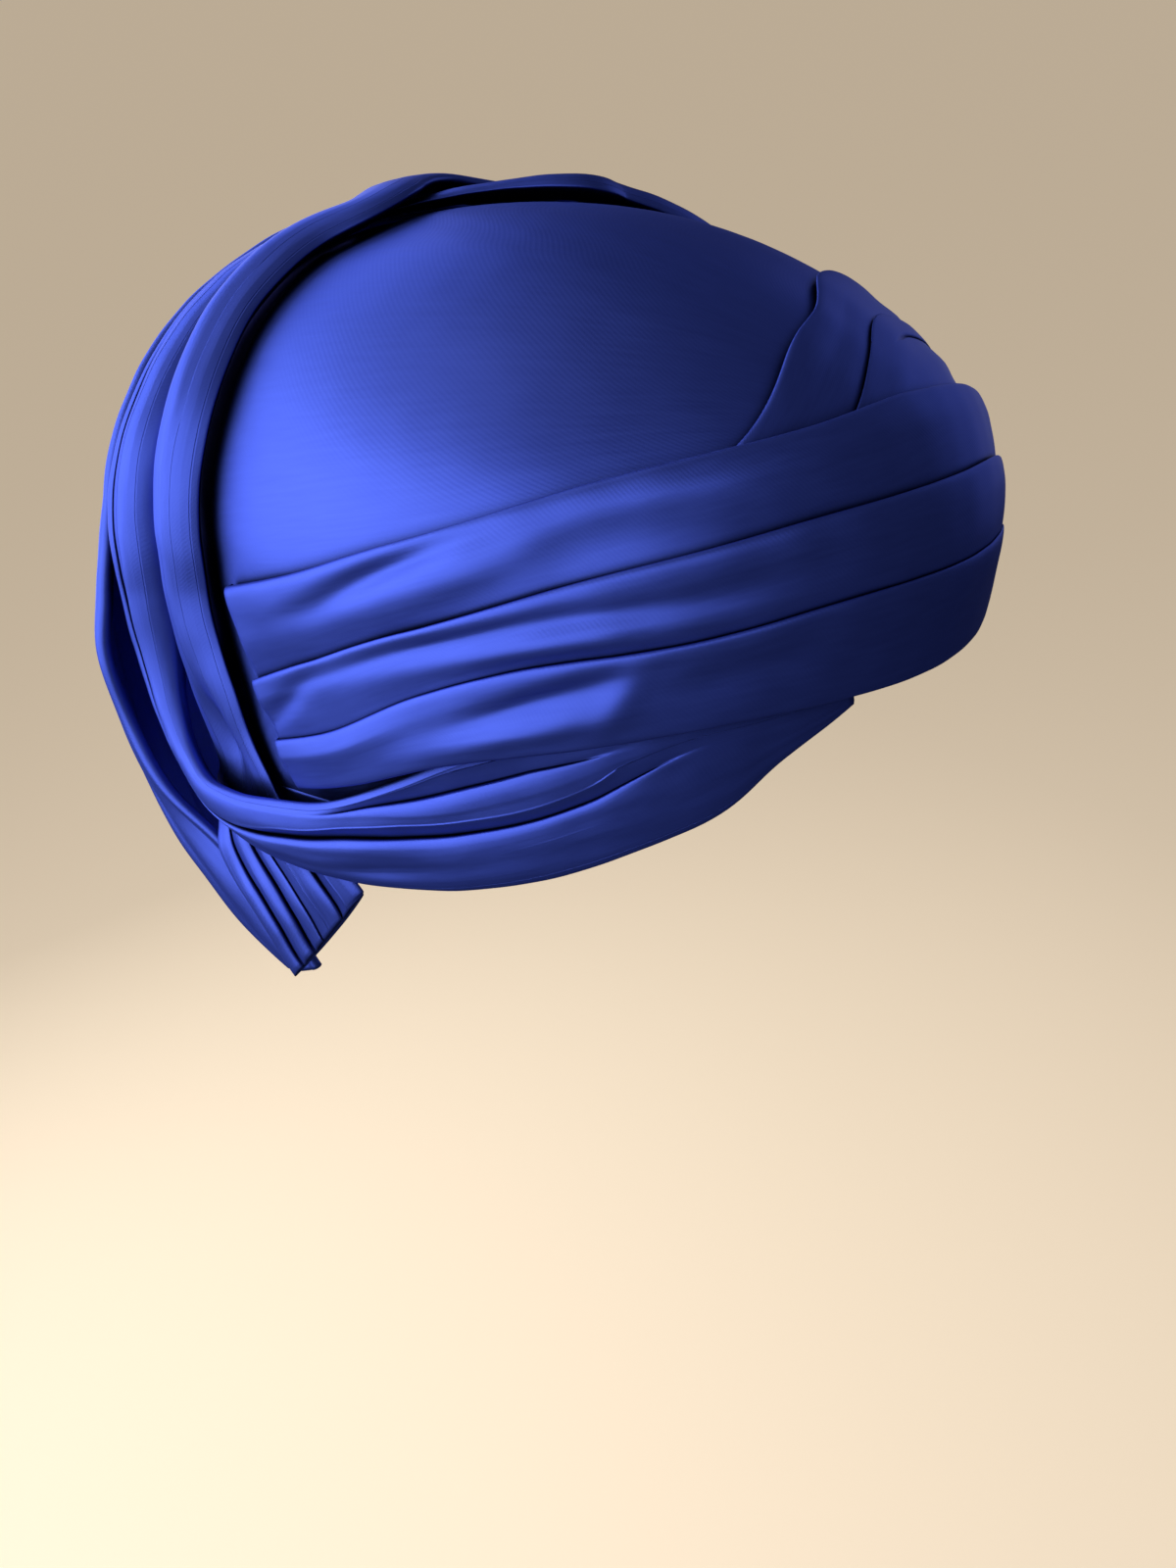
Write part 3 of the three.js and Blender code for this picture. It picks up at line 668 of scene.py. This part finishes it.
def pleat(number, row, heights, pulls, proud):
    """Turns, heights and lifts of the points over one pleat."""
    line = PLEAT_LINES[number]
    last = len(line["fixed"]) - 1
    fine = np.linspace(0, last, last * SECTION_STEPS + 1)
    upper, lower = heights[number], heights[number + 1]
    upper_turn = row["turn"] + row["lean"] * number / PLEATS
    lower_turn = row["turn"] + row["lean"] * (number + 1) / PLEATS
    flat = np.zeros_like(upper)
    gap = place(upper_turn, upper, flat)[0] - place(lower_turn, lower, flat)[0]
    width = np.linalg.norm(gap, axis=-1)[:, None]
    share = spline(line["fixed"], fine) / width + spline(line["share"], fine)
    along = upper_turn[:, None] + (lower_turn - upper_turn)[:, None] * share
    level = upper[:, None] + (lower - upper)[:, None] * share
    base = PLEAT_BASE[number]
    stand = (proud * np.interp(row["turn"], *FLATTER) - base)[:, None]
    face = np.clip(spline(line["face"], fine), 0, 1)
    lift = base + stand * spline(line["rise"], fine) + face * pulled(pulls, number, along, share, width)
    lift = lift + row["lift"][:, None] + row["tuck"][:, None] * ((number + share) / PLEATS) ** 2
    return along, level, lift


print("the folds stand at", FLATTER[1][0], "of their height at the left of the front")

# %% [markdown]
# ## Drape meshes
# Three pleats side by side make a drape. Its fold lines waver a little, as hand-laid pleats do, and at both
# ends the cloth sinks to the crown in a small roll, so that no cut edge shows. It is a single sheet, so a
# Solidify modifier gives it the thickness of satin.

# %% Drape meshes
DRAPE_STEPS = 24
FOLD_PROUD = 2.8
LEFT_FOLD_PROUD = 1.7
SATIN_THICK = 0.3
EDGE_WAVE = 0.2
EDGE_WAVE_LONG = 70
# At its ends the drape sinks over this many mm to a share of its lift, and never lower than the least one
END_ROLL = 2.5
END_LIFT = 0.3
LEAST_LIFT = 0.25
DRAPE_WAVE = 0.09
DRAPE_WAVE_LONG = 13
# The waves draw from a seed of their own, this far past the drape's
WAVE_SEED = 10


def drape(name, rows, pulls, proud, seed):
    """A strip in three knife pleats: one grid of stations along it and points over all its folds."""
    row = stations(rows, DRAPE_STEPS)[1]
    heights = [row[key] for key in ("first", "second", "third", "lowest")]
    draw = np.random.default_rng(seed)
    waves = row["turn"] * MM_PER_DEGREE * 2 * np.pi / EDGE_WAVE_LONG
    for height in heights:
        height += EDGE_WAVE * np.sin(waves + draw.uniform(0, 2 * np.pi))
    pleats = [pleat(number, row, heights, pulls, proud) for number in range(PLEATS)]
    turn, level, lift = (np.concatenate(part, axis=1) for part in zip(*pleats))
    spine = place(row["turn"], heights[1], np.zeros_like(row["turn"]))[0]
    far = np.concatenate([[0], np.cumsum(np.linalg.norm(np.diff(spine, axis=0), axis=-1))])
    from_end = ramp(np.minimum(far, far[-1] - far), END_ROLL)
    rolled = END_LIFT + (1 - END_LIFT) * np.sqrt(1 - (1 - from_end) ** 2)
    grid, out = place(turn, level, np.maximum(lift * rolled[:, None], LEAST_LIFT))
    grid = grid + out * (DRAPE_WAVE * ripple(grid, DRAPE_WAVE_LONG, seed + WAVE_SEED))[..., None]
    piece = cloth(name, grid)
    thicken(piece, SATIN_THICK, 0)
    return piece


right_drape = drape("right_pleated_drape", RIGHT_DRAPE, RIGHT_PULLS, FOLD_PROUD, 3)
left_drape = drape("left_pleated_drape", LEFT_DRAPE, LEFT_PULLS, LEFT_FOLD_PROUD, 4)
dress(right_drape, "right_drape")
dress(left_drape, "left_drape")

# %% [markdown]
# ## Creases in the strands
# A swept curve with a round profile would look like a hose, so a strand's section is drawn in place: flat
# below, rounded above, and cut by creases where one fold slips under the next. A crease is where the cloth
# slopes down, tucks in under a rounded nose and comes up over it: seven points give that little hook. Where
# a crease runs out its depth just falls to nothing, so the grid stays regular and the fold fades away as it
# does in cloth.

# %% Crease tables
CREASE_HOOK = table(
    "place slip drop",
    (-0.16, 0, 0.12), (-0.05, 0, 0.55), (-0.02, 0.07, 1.0), (0, 0.03, 0.80), (0.02, -0.05, 0.45),
    (0.04, -0.02, 0.08), (0.10, 0, 0.0),
)
# Creases from the crown's side (0) to the far side (1) of a strand: row, place across and depth in mm
CREASE_COLUMNS = "row across deep"
CREASES = [
    table(CREASE_COLUMNS, (0, 0.16, 0), (2.8, 0.20, 0), (3.4, 0.24, 1.0), (4, 0.27, 2.2), (5, 0.20, 2.6),
          (5.6, 0.12, 1.4), (6.2, 0.10, 0), (20, 0.16, 0), (36, 0.22, 0), (37, 0.25, 1.4), (38.5, 0.27, 2.4),
          (40, 0.28, 1.8)),
    table(CREASE_COLUMNS, (0, 0.34, 0), (2, 0.34, 0), (2.6, 0.42, 0.6), (3, 0.54, 1.6), (4, 0.585, 2.6),
          (5, 0.52, 3.0), (6, 0.41, 3.2), (7, 0.52, 3.2), (8, 0.67, 2.6), (9, 0.80, 1.0), (9.5, 0.80, 0),
          (10.3, 0.45, 0), (11.5, 0.42, 1.4), (13, 0.42, 1.8), (15, 0.40, 0.8), (17, 0.42, 0), (36, 0.45, 0),
          (37, 0.48, 0.6), (38.5, 0.50, 1.0), (40, 0.51, 0.6)),
    table(CREASE_COLUMNS, (0, 0.72, 0), (8, 0.84, 0), (9.5, 0.90, 0), (10.5, 0.74, 0.8), (12, 0.72, 2.2),
          (14, 0.74, 1.4), (17, 0.74, 0.7), (20, 0.74, 0), (35.8, 0.64, 0), (36.8, 0.65, 1.8),
          (38, 0.68, 3.0), (40, 0.70, 2.6)),
    table(CREASE_COLUMNS, (0, 0.90, 0), (8, 0.93, 0), (9.5, 0.95, 0), (12, 0.90, 0.8), (15, 0.88, 1.0),
          (18, 0.88, 0.4), (20, 0.88, 0), (35.8, 0.84, 0), (36.8, 0.84, 1.8), (38, 0.86, 2.6),
          (40, 0.87, 2.0)),
]
# Soft dents: row, place across, length in rows, width across and depth in mm
DENT_COLUMNS = "row across long wide deep"
UNDER_DENTS = table(DENT_COLUMNS, (25, 0.48, 3.0, 0.12, 2.6), (5.6, 0.76, 0.5, 0.14, 0.9))
OVER_DENTS = table(DENT_COLUMNS, (34.3, 0.50, 1.2, 0.20, 5.0), (26.5, 0.30, 2.5, 0.15, 0.5))
# Outline of the section along a strand: how high its widest level lies, how far its top leans over to the far
# side, how much the section slants along the strand, and how far in mm its far side is lifted
PROFILE = table(
    "row low skew slant tilt",
    (0, 0.35, 1.0, 0, 0), (6, 0.40, 1.0, 0, 0), (9, 0.5, 1.0, 0, 0), (11, 0.33, 1.0, 0, 0),
    (17, 0.33, 1.0, 0, 0), (20, 0.5, 1.0, 0, 0), (24, 0.30, 1.4, 0, 0), (32, 0.26, 1.6, 0, 0),
    (35, 0.30, 1.2, 0, 2), (36, 0.30, 1.1, -0.2, 5), (37, 0.30, 1.0, -0.4, 8.5),
    (38, 0.30, 1.0, -0.25, 8.5), (39, 0.30, 1.0, 0.15, 8), (40, 0.30, 1.0, 0.55, 6.5),
)
print("creases in a strand:", len(CREASES))

# %% [markdown]
# ## Points across a strand
# Creases wander over the strand, so the points that draw them have to wander along, and crowd together
# where two creases come close. The points are therefore laid out afresh at each station, always the same
# number of them, from one side of the strand to the other.

# %% Crease points
SIDE_POINTS = np.array([0.0, 0.012, 0.05])
BETWEEN = (0.25, 0.5, 0.75)
# A crease has its full breadth where the next one is this far off, and never less than the least share of it
FULL_ROOM = 0.30
LEAST_ROOM = 0.15
FIRST_ROOM = 1.6
LAST_ROOM = 2.4
# A crease is no deeper than this share of the strand, and slips in fully from this depth on
CREASE_MOST = 0.7
FULL_SLIP = 1.5
SECTION_POWER = 2.2
EASE_WINDOW = np.hanning(13)[1:-1]


def eased(at, rows, values):
    """Values between rows, with the corners at the rows rounded off."""
    straight = np.pad(np.interp(at, rows, values), len(EASE_WINDOW) // 2, mode="edge")
    return np.convolve(straight, EASE_WINDOW / EASE_WINDOW.sum(), mode="valid")


def rounded(s):
    """Half of a strand's thickness at a place across it: flat in the middle, round at both sides."""
    return np.maximum(1 - np.abs(2 * s - 1) ** SECTION_POWER, 0) ** 0.5


def crease_points(at, thick):
    """Places across a strand from side to side and drops below its round outside, for each station."""
    across = [eased(at, crease["row"], crease["across"]) for crease in CREASES]
    places = [np.full(len(at), s) for s in SIDE_POINTS]
    drops = [np.zeros(len(at)) for _ in SIDE_POINTS]
    for i, crease in enumerate(CREASES):
        before = across[i] - across[i - 1] if i else FIRST_ROOM * (across[i] - SIDE_POINTS[-1])
        is_last = i + 1 == len(CREASES)
        after = LAST_ROOM * (1 - SIDE_POINTS[-1] - across[i]) if is_last else across[i + 1] - across[i]
        room = np.clip(np.minimum(before, after) / FULL_ROOM, LEAST_ROOM, 1)[:, None]
        deep = np.minimum(eased(at, crease["row"], crease["deep"]), CREASE_MOST * thick)
        slip = CREASE_HOOK["slip"] * np.minimum(deep / FULL_SLIP, 1)[:, None]
        hook = across[i][:, None] + room * (CREASE_HOOK["place"] + slip)
        for share in BETWEEN:
            places.append(places[-1] + (hook[:, 0] - places[-1]) * share)
            drops.append(CREASE_HOOK["drop"][0] * deep * share)
        places += list(hook.T)
        drops += list((deep[:, None] * CREASE_HOOK["drop"]).T)
    last = places[-1]
    places += [last + (1 - SIDE_POINTS[-1] - last) * share for share in BETWEEN]
    places += [np.full(len(at), 1 - s) for s in SIDE_POINTS[::-1]]
    drops += [np.zeros(len(at)) for _ in (*BETWEEN, *SIDE_POINTS)]
    return np.stack(places, axis=1), np.stack(drops, axis=1)


print("points over a strand:", crease_points(np.arange(20.0), np.ones(20))[0].shape[1])

# %% [markdown]
# ## Section of a strand
# Over the outside the section is a rounded hump less its creases and dents, with fine gathers on it.
# Underneath it runs back flat. A spline round the closed section then doubles its points, which keeps the
# noses of the folds round in the shine.

# %% Strand sections
DENT_MOST = 0.75
# Fine gathers: rows and depths in mm, how many lie across, and how they drift and wander along the rows
GATHERED = ((0, 9, 12, 18, 21, 34, 37, 40), (0.03, 0.08, 0.16, 0.14, 0.02, 0.02, 0.10, 0.10))
GATHERS_ACROSS = 5
GATHER_DRIFT = 0.08
GATHER_WANDER = 0.10
WANDER_ROWS = 1.7
# On the crown's side the gathers are weaker, down to this share
GATHER_GROWS = 1.4
GATHER_LEAST = 0.2
UNDERSIDE = np.linspace(0.98, 0.02, 16)
SECTION_STEP = 0.5


def wrapped(values):
    """A closed section with two points repeated at each end, so that the spline runs on through its start."""
    return np.concatenate([values[:, -2:], values, values[:, :2]], axis=1)


def strand_section(at, thick, form, dents, seed):
    """Places across and rises of the closed section at each station, over the outside and back underneath."""
    over, drop = crease_points(at, thick[:, 0])
    top = thick * (form["low"] + (1 - form["low"]) * rounded(over ** form["skew"])) - drop
    for i in range(len(dents["row"])):
        far = (at[:, None] - dents["row"][i]) / dents["long"][i]
        off = (over - dents["across"][i]) / dents["wide"][i]
        top = top - np.minimum(dents["deep"][i], DENT_MOST * thick) * np.exp(-far**2 - off**2)
    wander = GATHER_WANDER * np.sin(at / WANDER_ROWS + seed)[:, None]
    gathers = np.sin(2 * np.pi * (GATHERS_ACROSS * (over + wander) + GATHER_DRIFT * at[:, None]))
    top = top + np.interp(at, *GATHERED)[:, None] * gathers * np.clip(over * GATHER_GROWS, GATHER_LEAST, 1)
    under = np.broadcast_to(UNDERSIDE, (len(at), len(UNDERSIDE)))
    bottom = thick * form["low"] * (1 - rounded(under ** form["skew"]))
    over = np.concatenate([over, under], axis=1)
    rise = np.concatenate([top, bottom], axis=1)
    fine = np.arange(2, over.shape[1] + 2, SECTION_STEP)
    return spline(wrapped(over), fine), spline(wrapped(rise), fine)


print("gathers across a strand:", GATHERS_ACROSS)

# %% [markdown]
# ## Strand meshes
# The sections are set up across the strand's path, leaned and tilted where it fans out, and joined to a
# closed loft. At the tail's open end the cloth turns in and runs back a little way inside, so the end is a
# mouth with a soft edge and not a flat lid.

# %% Strand meshes
STRAND_STEPS = 10
# Shares of the section's depth where the tail's end turns in, and mm that it runs back
TAIL_SHRINK = np.array([0.8, 0.55, 0.5])
TAIL_BACK = np.array([-0.3, 0.2, 3.0])
TURN_IN = len(TAIL_BACK)
CORE_SHARE = 0.5
STRAND_WAVE = 0.10
STRAND_WAVE_LONG = 12


def strand(name, rows, hand, dents, seed):
    """A gathered roll as a closed loft: over the outside with its creases, then back along the inside."""
    at, row = stations(rows, STRAND_STEPS)
    form_keys = ("low", "skew", "slant", "tilt")
    form = {key: eased(at, PROFILE["row"], PROFILE[key])[:, None] for key in form_keys}
    thick = row["thick"][:, None]
    over, rise = strand_section(at, thick, form, dents, seed)
    last = [len(at) - 1] * TURN_IN
    hump = rounded(np.clip(over, 0, 1) ** form["skew"])
    core = thick * (form["low"] + (CORE_SHARE - form["low"]) * hump)
    rise = np.concatenate([rise, core[last] + (rise - core)[last] * TAIL_SHRINK[:, None]])
    keep = list(range(len(at))) + last
    over = over[keep]
    form = {key: values[keep] for key, values in form.items()}
    row = {key: values[keep] for key, values in row.items()}
    middle, out = place(row["turn"], row["height"], row["lift"])
    ahead = unit(np.gradient(middle[:-TURN_IN], axis=0)[keep])
    middle[-TURN_IN:] -= ahead[-TURN_IN:] * TAIL_BACK[:, None]
    side = unit(np.cross(ahead, out))
    up = np.cross(side, ahead)
    across = (over - 0.5) * row["wide"][:, None]
    grid = middle[:, None] - side[:, None] * (across * hand)[..., None]
    grid = grid + ahead[:, None] * (across * form["slant"])[..., None]
    grid = grid + up[:, None] * (rise + form["tilt"] * np.clip(over, 0, 1) ** 2)[..., None]
    grid = grid + up[:, None] * (STRAND_WAVE * ripple(grid, STRAND_WAVE_LONG, seed))[..., None]
    return cloth(name, grid if hand < 0 else grid[:, ::-1], ring=True, capped=True)


twist_under = strand("twist_strand_under", UNDER_ROWS, 1, UNDER_DENTS, 5)
twist_over = strand("twist_strand_over", OVER_ROWS, -1, OVER_DENTS, 6)
dress(twist_under, "twist_under")
dress(twist_over, "twist_over")

# %% [markdown]
# ## Back fold
# The last fold binds the open back edge. It stands off the crown like a half-closed hand, so a deep dark
# hollow shows between it and the twist. It is a single sheet, bent over from its free front edge to the
# crown behind, with its free edge rolled in and a few soft lengthwise folds from the gathering. Low down
# its front curls in under the tail.

# %% Rows of the back fold
BACK_FOLD = table(
    "turn height stand back_turn back_height curl",
    (102.5, -101.5, 7.5, 115.5, -107, 0.7), (105.5, -93, 11.5, 129, -99, 1),
    (110, -83, 15, 136.5, -87, 1), (116, -73.5, 18, 141.5, -75, 0.7), (122.8, -62, 20, 144.5, -63, 0.25),
    (126.8, -49, 21.2, 146.5, -49, 0.1), (128.5, -34, 21.5, 148, -34, 0),
    (129.5, -19, 18.5, 148.5, -19, 0), (131, -5, 14.5, 148.5, -6, 0), (133.5, 8, 11, 149.5, 5, 0),
    (139, 19, 8.5, 152, 14, 0), (146.5, 28, 7, 156.5, 23, 0), (155.5, 36, 6, 163, 30, 0),
    (166, 42, 5.5, 171, 35, 0), (180, 44, 5, 180, 37, 0),
)


def whole_back(rows):
    """The right half's rows, and their partners on the left."""
    far = {
        "turn": 360 - left_turn(rows["turn"], rows["height"]),
        "back_turn": 360 - left_turn(rows["back_turn"], rows["back_height"]),
    }
    return {name: np.concatenate([values, far.get(name, values)[-2::-1]]) for name, values in rows.items()}


print("rows from tail to tail:", len(whole_back(BACK_FOLD)["turn"]))

# %% [markdown]
# ## Bending the back fold
# Across the fold the cloth goes a quarter of the way round, from its free edge down to the crown, so a
# quarter circle stretched to each row's reach and height gives its bend. A curve with a bevel could be
# swept along the edge, but it could not open and close as this fold does.

# %% Back fold
BACK_STEPS = 10
BACK_CLEAR = 1.0
BACK_THICK = 0.8
BEND_POINTS = 60
ROLL_POINTS = 9
EDGE_RADIUS = 1.0
EDGE_ROLL = 0.03
CURL_IN = 0.65
CURL_SHARE = 0.40
# Lengthwise folds: share of the way back, depth in mm and breadth as a share
BACK_CREASES = ((0.22, 1.0, 0.05), (0.45, 0.8, 0.06), (0.70, 0.8, 0.06))
# They wander by this share, over so many rows, each out of step with the next, and are full where the fold
# stands this high
CREASE_DRIFT = 0.05
DRIFT_ROWS = 3.1
OUT_OF_STEP = 9
FULL_STAND = 15
LOWEST_STAND = -0.4
BACK_WAVE = 0.15
BACK_WAVE_LONG = 14

at, row = stations(whole_back(BACK_FOLD), BACK_STEPS)
bend = np.linspace(0, np.pi / 2, BEND_POINTS)
roll = np.linspace(-0.5 * np.pi, 0.5 * np.pi, ROLL_POINTS + 1)[:-1]
share = np.concatenate([-EDGE_ROLL * np.cos(roll), np.sin(bend)])[None, :]
full_stand = row["stand"][:, None]
stand = full_stand * np.concatenate([np.ones(ROLL_POINTS), np.cos(bend)])[None, :]
stand = stand - np.concatenate([EDGE_RADIUS * (1 - np.sin(roll)), np.zeros(BEND_POINTS)])[None, :]
stand = stand - CURL_IN * row["curl"][:, None] * stand * np.clip(1 - share / CURL_SHARE, 0, 1) ** 2
for middle_share, deep, wide in BACK_CREASES:
    drift = middle_share + CREASE_DRIFT * np.sin(at / DRIFT_ROWS + OUT_OF_STEP * middle_share)[:, None]
    stand = stand - deep * np.exp(-((share - drift) / wide) ** 2) * np.minimum(full_stand / FULL_STAND, 1)
turn = row["turn"][:, None] + (row["back_turn"] - row["turn"])[:, None] * share
height = row["height"][:, None] + (row["back_height"] - row["height"])[:, None] * share
grid, out = place(turn, height, BACK_CLEAR + np.maximum(stand, LOWEST_STAND))
grid = grid + out * (BACK_WAVE * ripple(grid, BACK_WAVE_LONG, 7))[..., None]
back_fold = cloth("back_edge_fold", grid)
thicken(back_fold, BACK_THICK, -1)
dress(back_fold, "back_fold")

# %% [markdown]
# ## Floor
# The hat keeps its worn form in the air, so the floor is only a plain pale ground, far below. It is matt
# painted board, which scatters light evenly and gives the eye no shine at all. A little glow of its own
# keeps it pale where the light panels don't reach, and it is kept out of the satin's shine, as a dark flag
# would do.

# %% Floor
FLOOR_LEVEL = -0.8
FLOOR_HALF = 20.0
corners = [(-1, -1), (1, -1), (1, 1), (-1, 1)]
floor_points = [(FLOOR_HALF * x, FLOOR_HALF * y, FLOOR_LEVEL) for x, y in corners]
floor_mesh = bpy.data.meshes.new("floor")
floor_mesh.from_pydata(floor_points, [], [(0, 1, 2, 3)])
floor = bpy.data.objects.new("floor", floor_mesh)
bpy.context.scene.collection.objects.link(floor)
floor_paint = bpy.data.materials.new("matt_painted_board")
floor_paint.use_nodes = True
board = floor_paint.node_tree.nodes["Principled BSDF"]
board.inputs["Base Color"].default_value = linear("#E6D6C0")
board.inputs["Roughness"].default_value = 0.9
board.inputs["Emission Color"].default_value = linear("#F0DCC0")
board.inputs["Emission Strength"].default_value = 0.52
floor_mesh.materials.append(floor_paint)
floor.visible_glossy = False
floor.visible_diffuse = False
print("floor of", floor_paint.name, "at", FLOOR_LEVEL, "m")

# %% [markdown]
# ## Light
# Satin is seen by what it mirrors, so the light matters as much as the cloth. A point lamp would give hard
# spots, and one window a single blob. Instead three tall soft panels wrap round the right side and the back
# and make the broad bands, a small one in front picks out the fold edges, and two weak ones lift the top
# and the far side. All else stays dim, so the front falls away to navy.

# %% Lights
HAT_MIDDLE = Vector((0, 0, -0.06))
# Name, turn and rise of the way to the panel, its distance, width and height in m, brightness and colour
PANELS = [
    ("window_side", 95, 0.16, 0.8, 0.85, 1.0, 1.9, "#FFFFFF"),
    ("window_middle", 145, 0.16, 0.8, 0.75, 1.0, 2.5, "#FFFFFF"),
    ("window_back", 195, 0.16, 0.8, 0.75, 1.0, 2.0, "#FFFFFF"),
    ("window_front", 48, 0.7, 0.9, 0.6, 0.4, 1.0, "#FFFFFF"),
    ("ceiling", 160, 2.0, 1.2, 0.9, 0.7, 0.7, "#FFF8F0"),
    ("far_fill", -82, 0.15, 1.0, 0.8, 0.8, 0.55, "#FFF8F0"),
]


def facing(turn, rise):
    """The way to a place round the hat, by its turn in degrees and its rise."""
    return Vector((-np.sin(np.radians(turn)), -np.cos(np.radians(turn)), rise)).normalized()


def softbox(name, turn, rise, distance, width, height, brightness, code):
    """A soft light panel aimed at the middle of the hat. The brightness of its face sets its power."""
    data = bpy.data.lights.new(name, "AREA")
    data.shape = "RECTANGLE"
    data.size = width
    data.size_y = height
    data.energy = brightness * np.pi * width * height
    data.color = linear(code)[:3]
    lamp = bpy.data.objects.new(name, data)
    towards = facing(turn, rise)
    lamp.location = HAT_MIDDLE + towards * distance
    lamp.rotation_euler = towards.to_track_quat("Z", "Y").to_euler()
    lamp.visible_camera = False
    bpy.context.scene.collection.objects.link(lamp)
    return lamp


lamps = [softbox(*panel) for panel in PANELS]
dim = bpy.data.worlds.new("dim_surround")
bpy.context.scene.world = dim
dim.use_nodes = True
dim.node_tree.nodes["Background"].inputs["Color"].default_value = linear("#C8BFB4")
dim.node_tree.nodes["Background"].inputs["Strength"].default_value = 0.10
bpy.context.scene.view_settings.view_transform = "Standard"
print("panels and their watts:", {lamp.name: round(lamp.data.energy, 1) for lamp in lamps})

# %% [markdown]
# ## Camera
# The camera stands where the photograph was taken, about 34 cm from the middle of the hat, looking down at
# the wearer's right side. Its place, its axes and its lens were fitted to the hat's outline. An aim
# constraint could turn it, but three axes written out are exact.

# %% Camera
CAMERA_AT = Vector((-0.2545, -0.1904, 0.0622))
CAMERA_LENS = 33.75
LOOKS_BACK = Vector((-0.6861, -0.4985, 0.5299))
LOOKS_RIGHT = Vector((0.5878, -0.8090, 0.0))
LOOKS_UP = LOOKS_BACK.cross(LOOKS_RIGHT)
camera_data = bpy.data.cameras.new("photo_camera")
camera_data.lens = CAMERA_LENS
camera = bpy.data.objects.new("photo_camera", camera_data)
camera.matrix_world = Matrix.LocRotScale(
    CAMERA_AT, Matrix((LOOKS_RIGHT, LOOKS_UP, LOOKS_BACK)).transposed(), None)
bpy.context.scene.collection.objects.link(camera)
bpy.context.scene.camera = camera
print("camera", round((CAMERA_AT - HAT_MIDDLE).length, 2), "m from the middle of the hat")
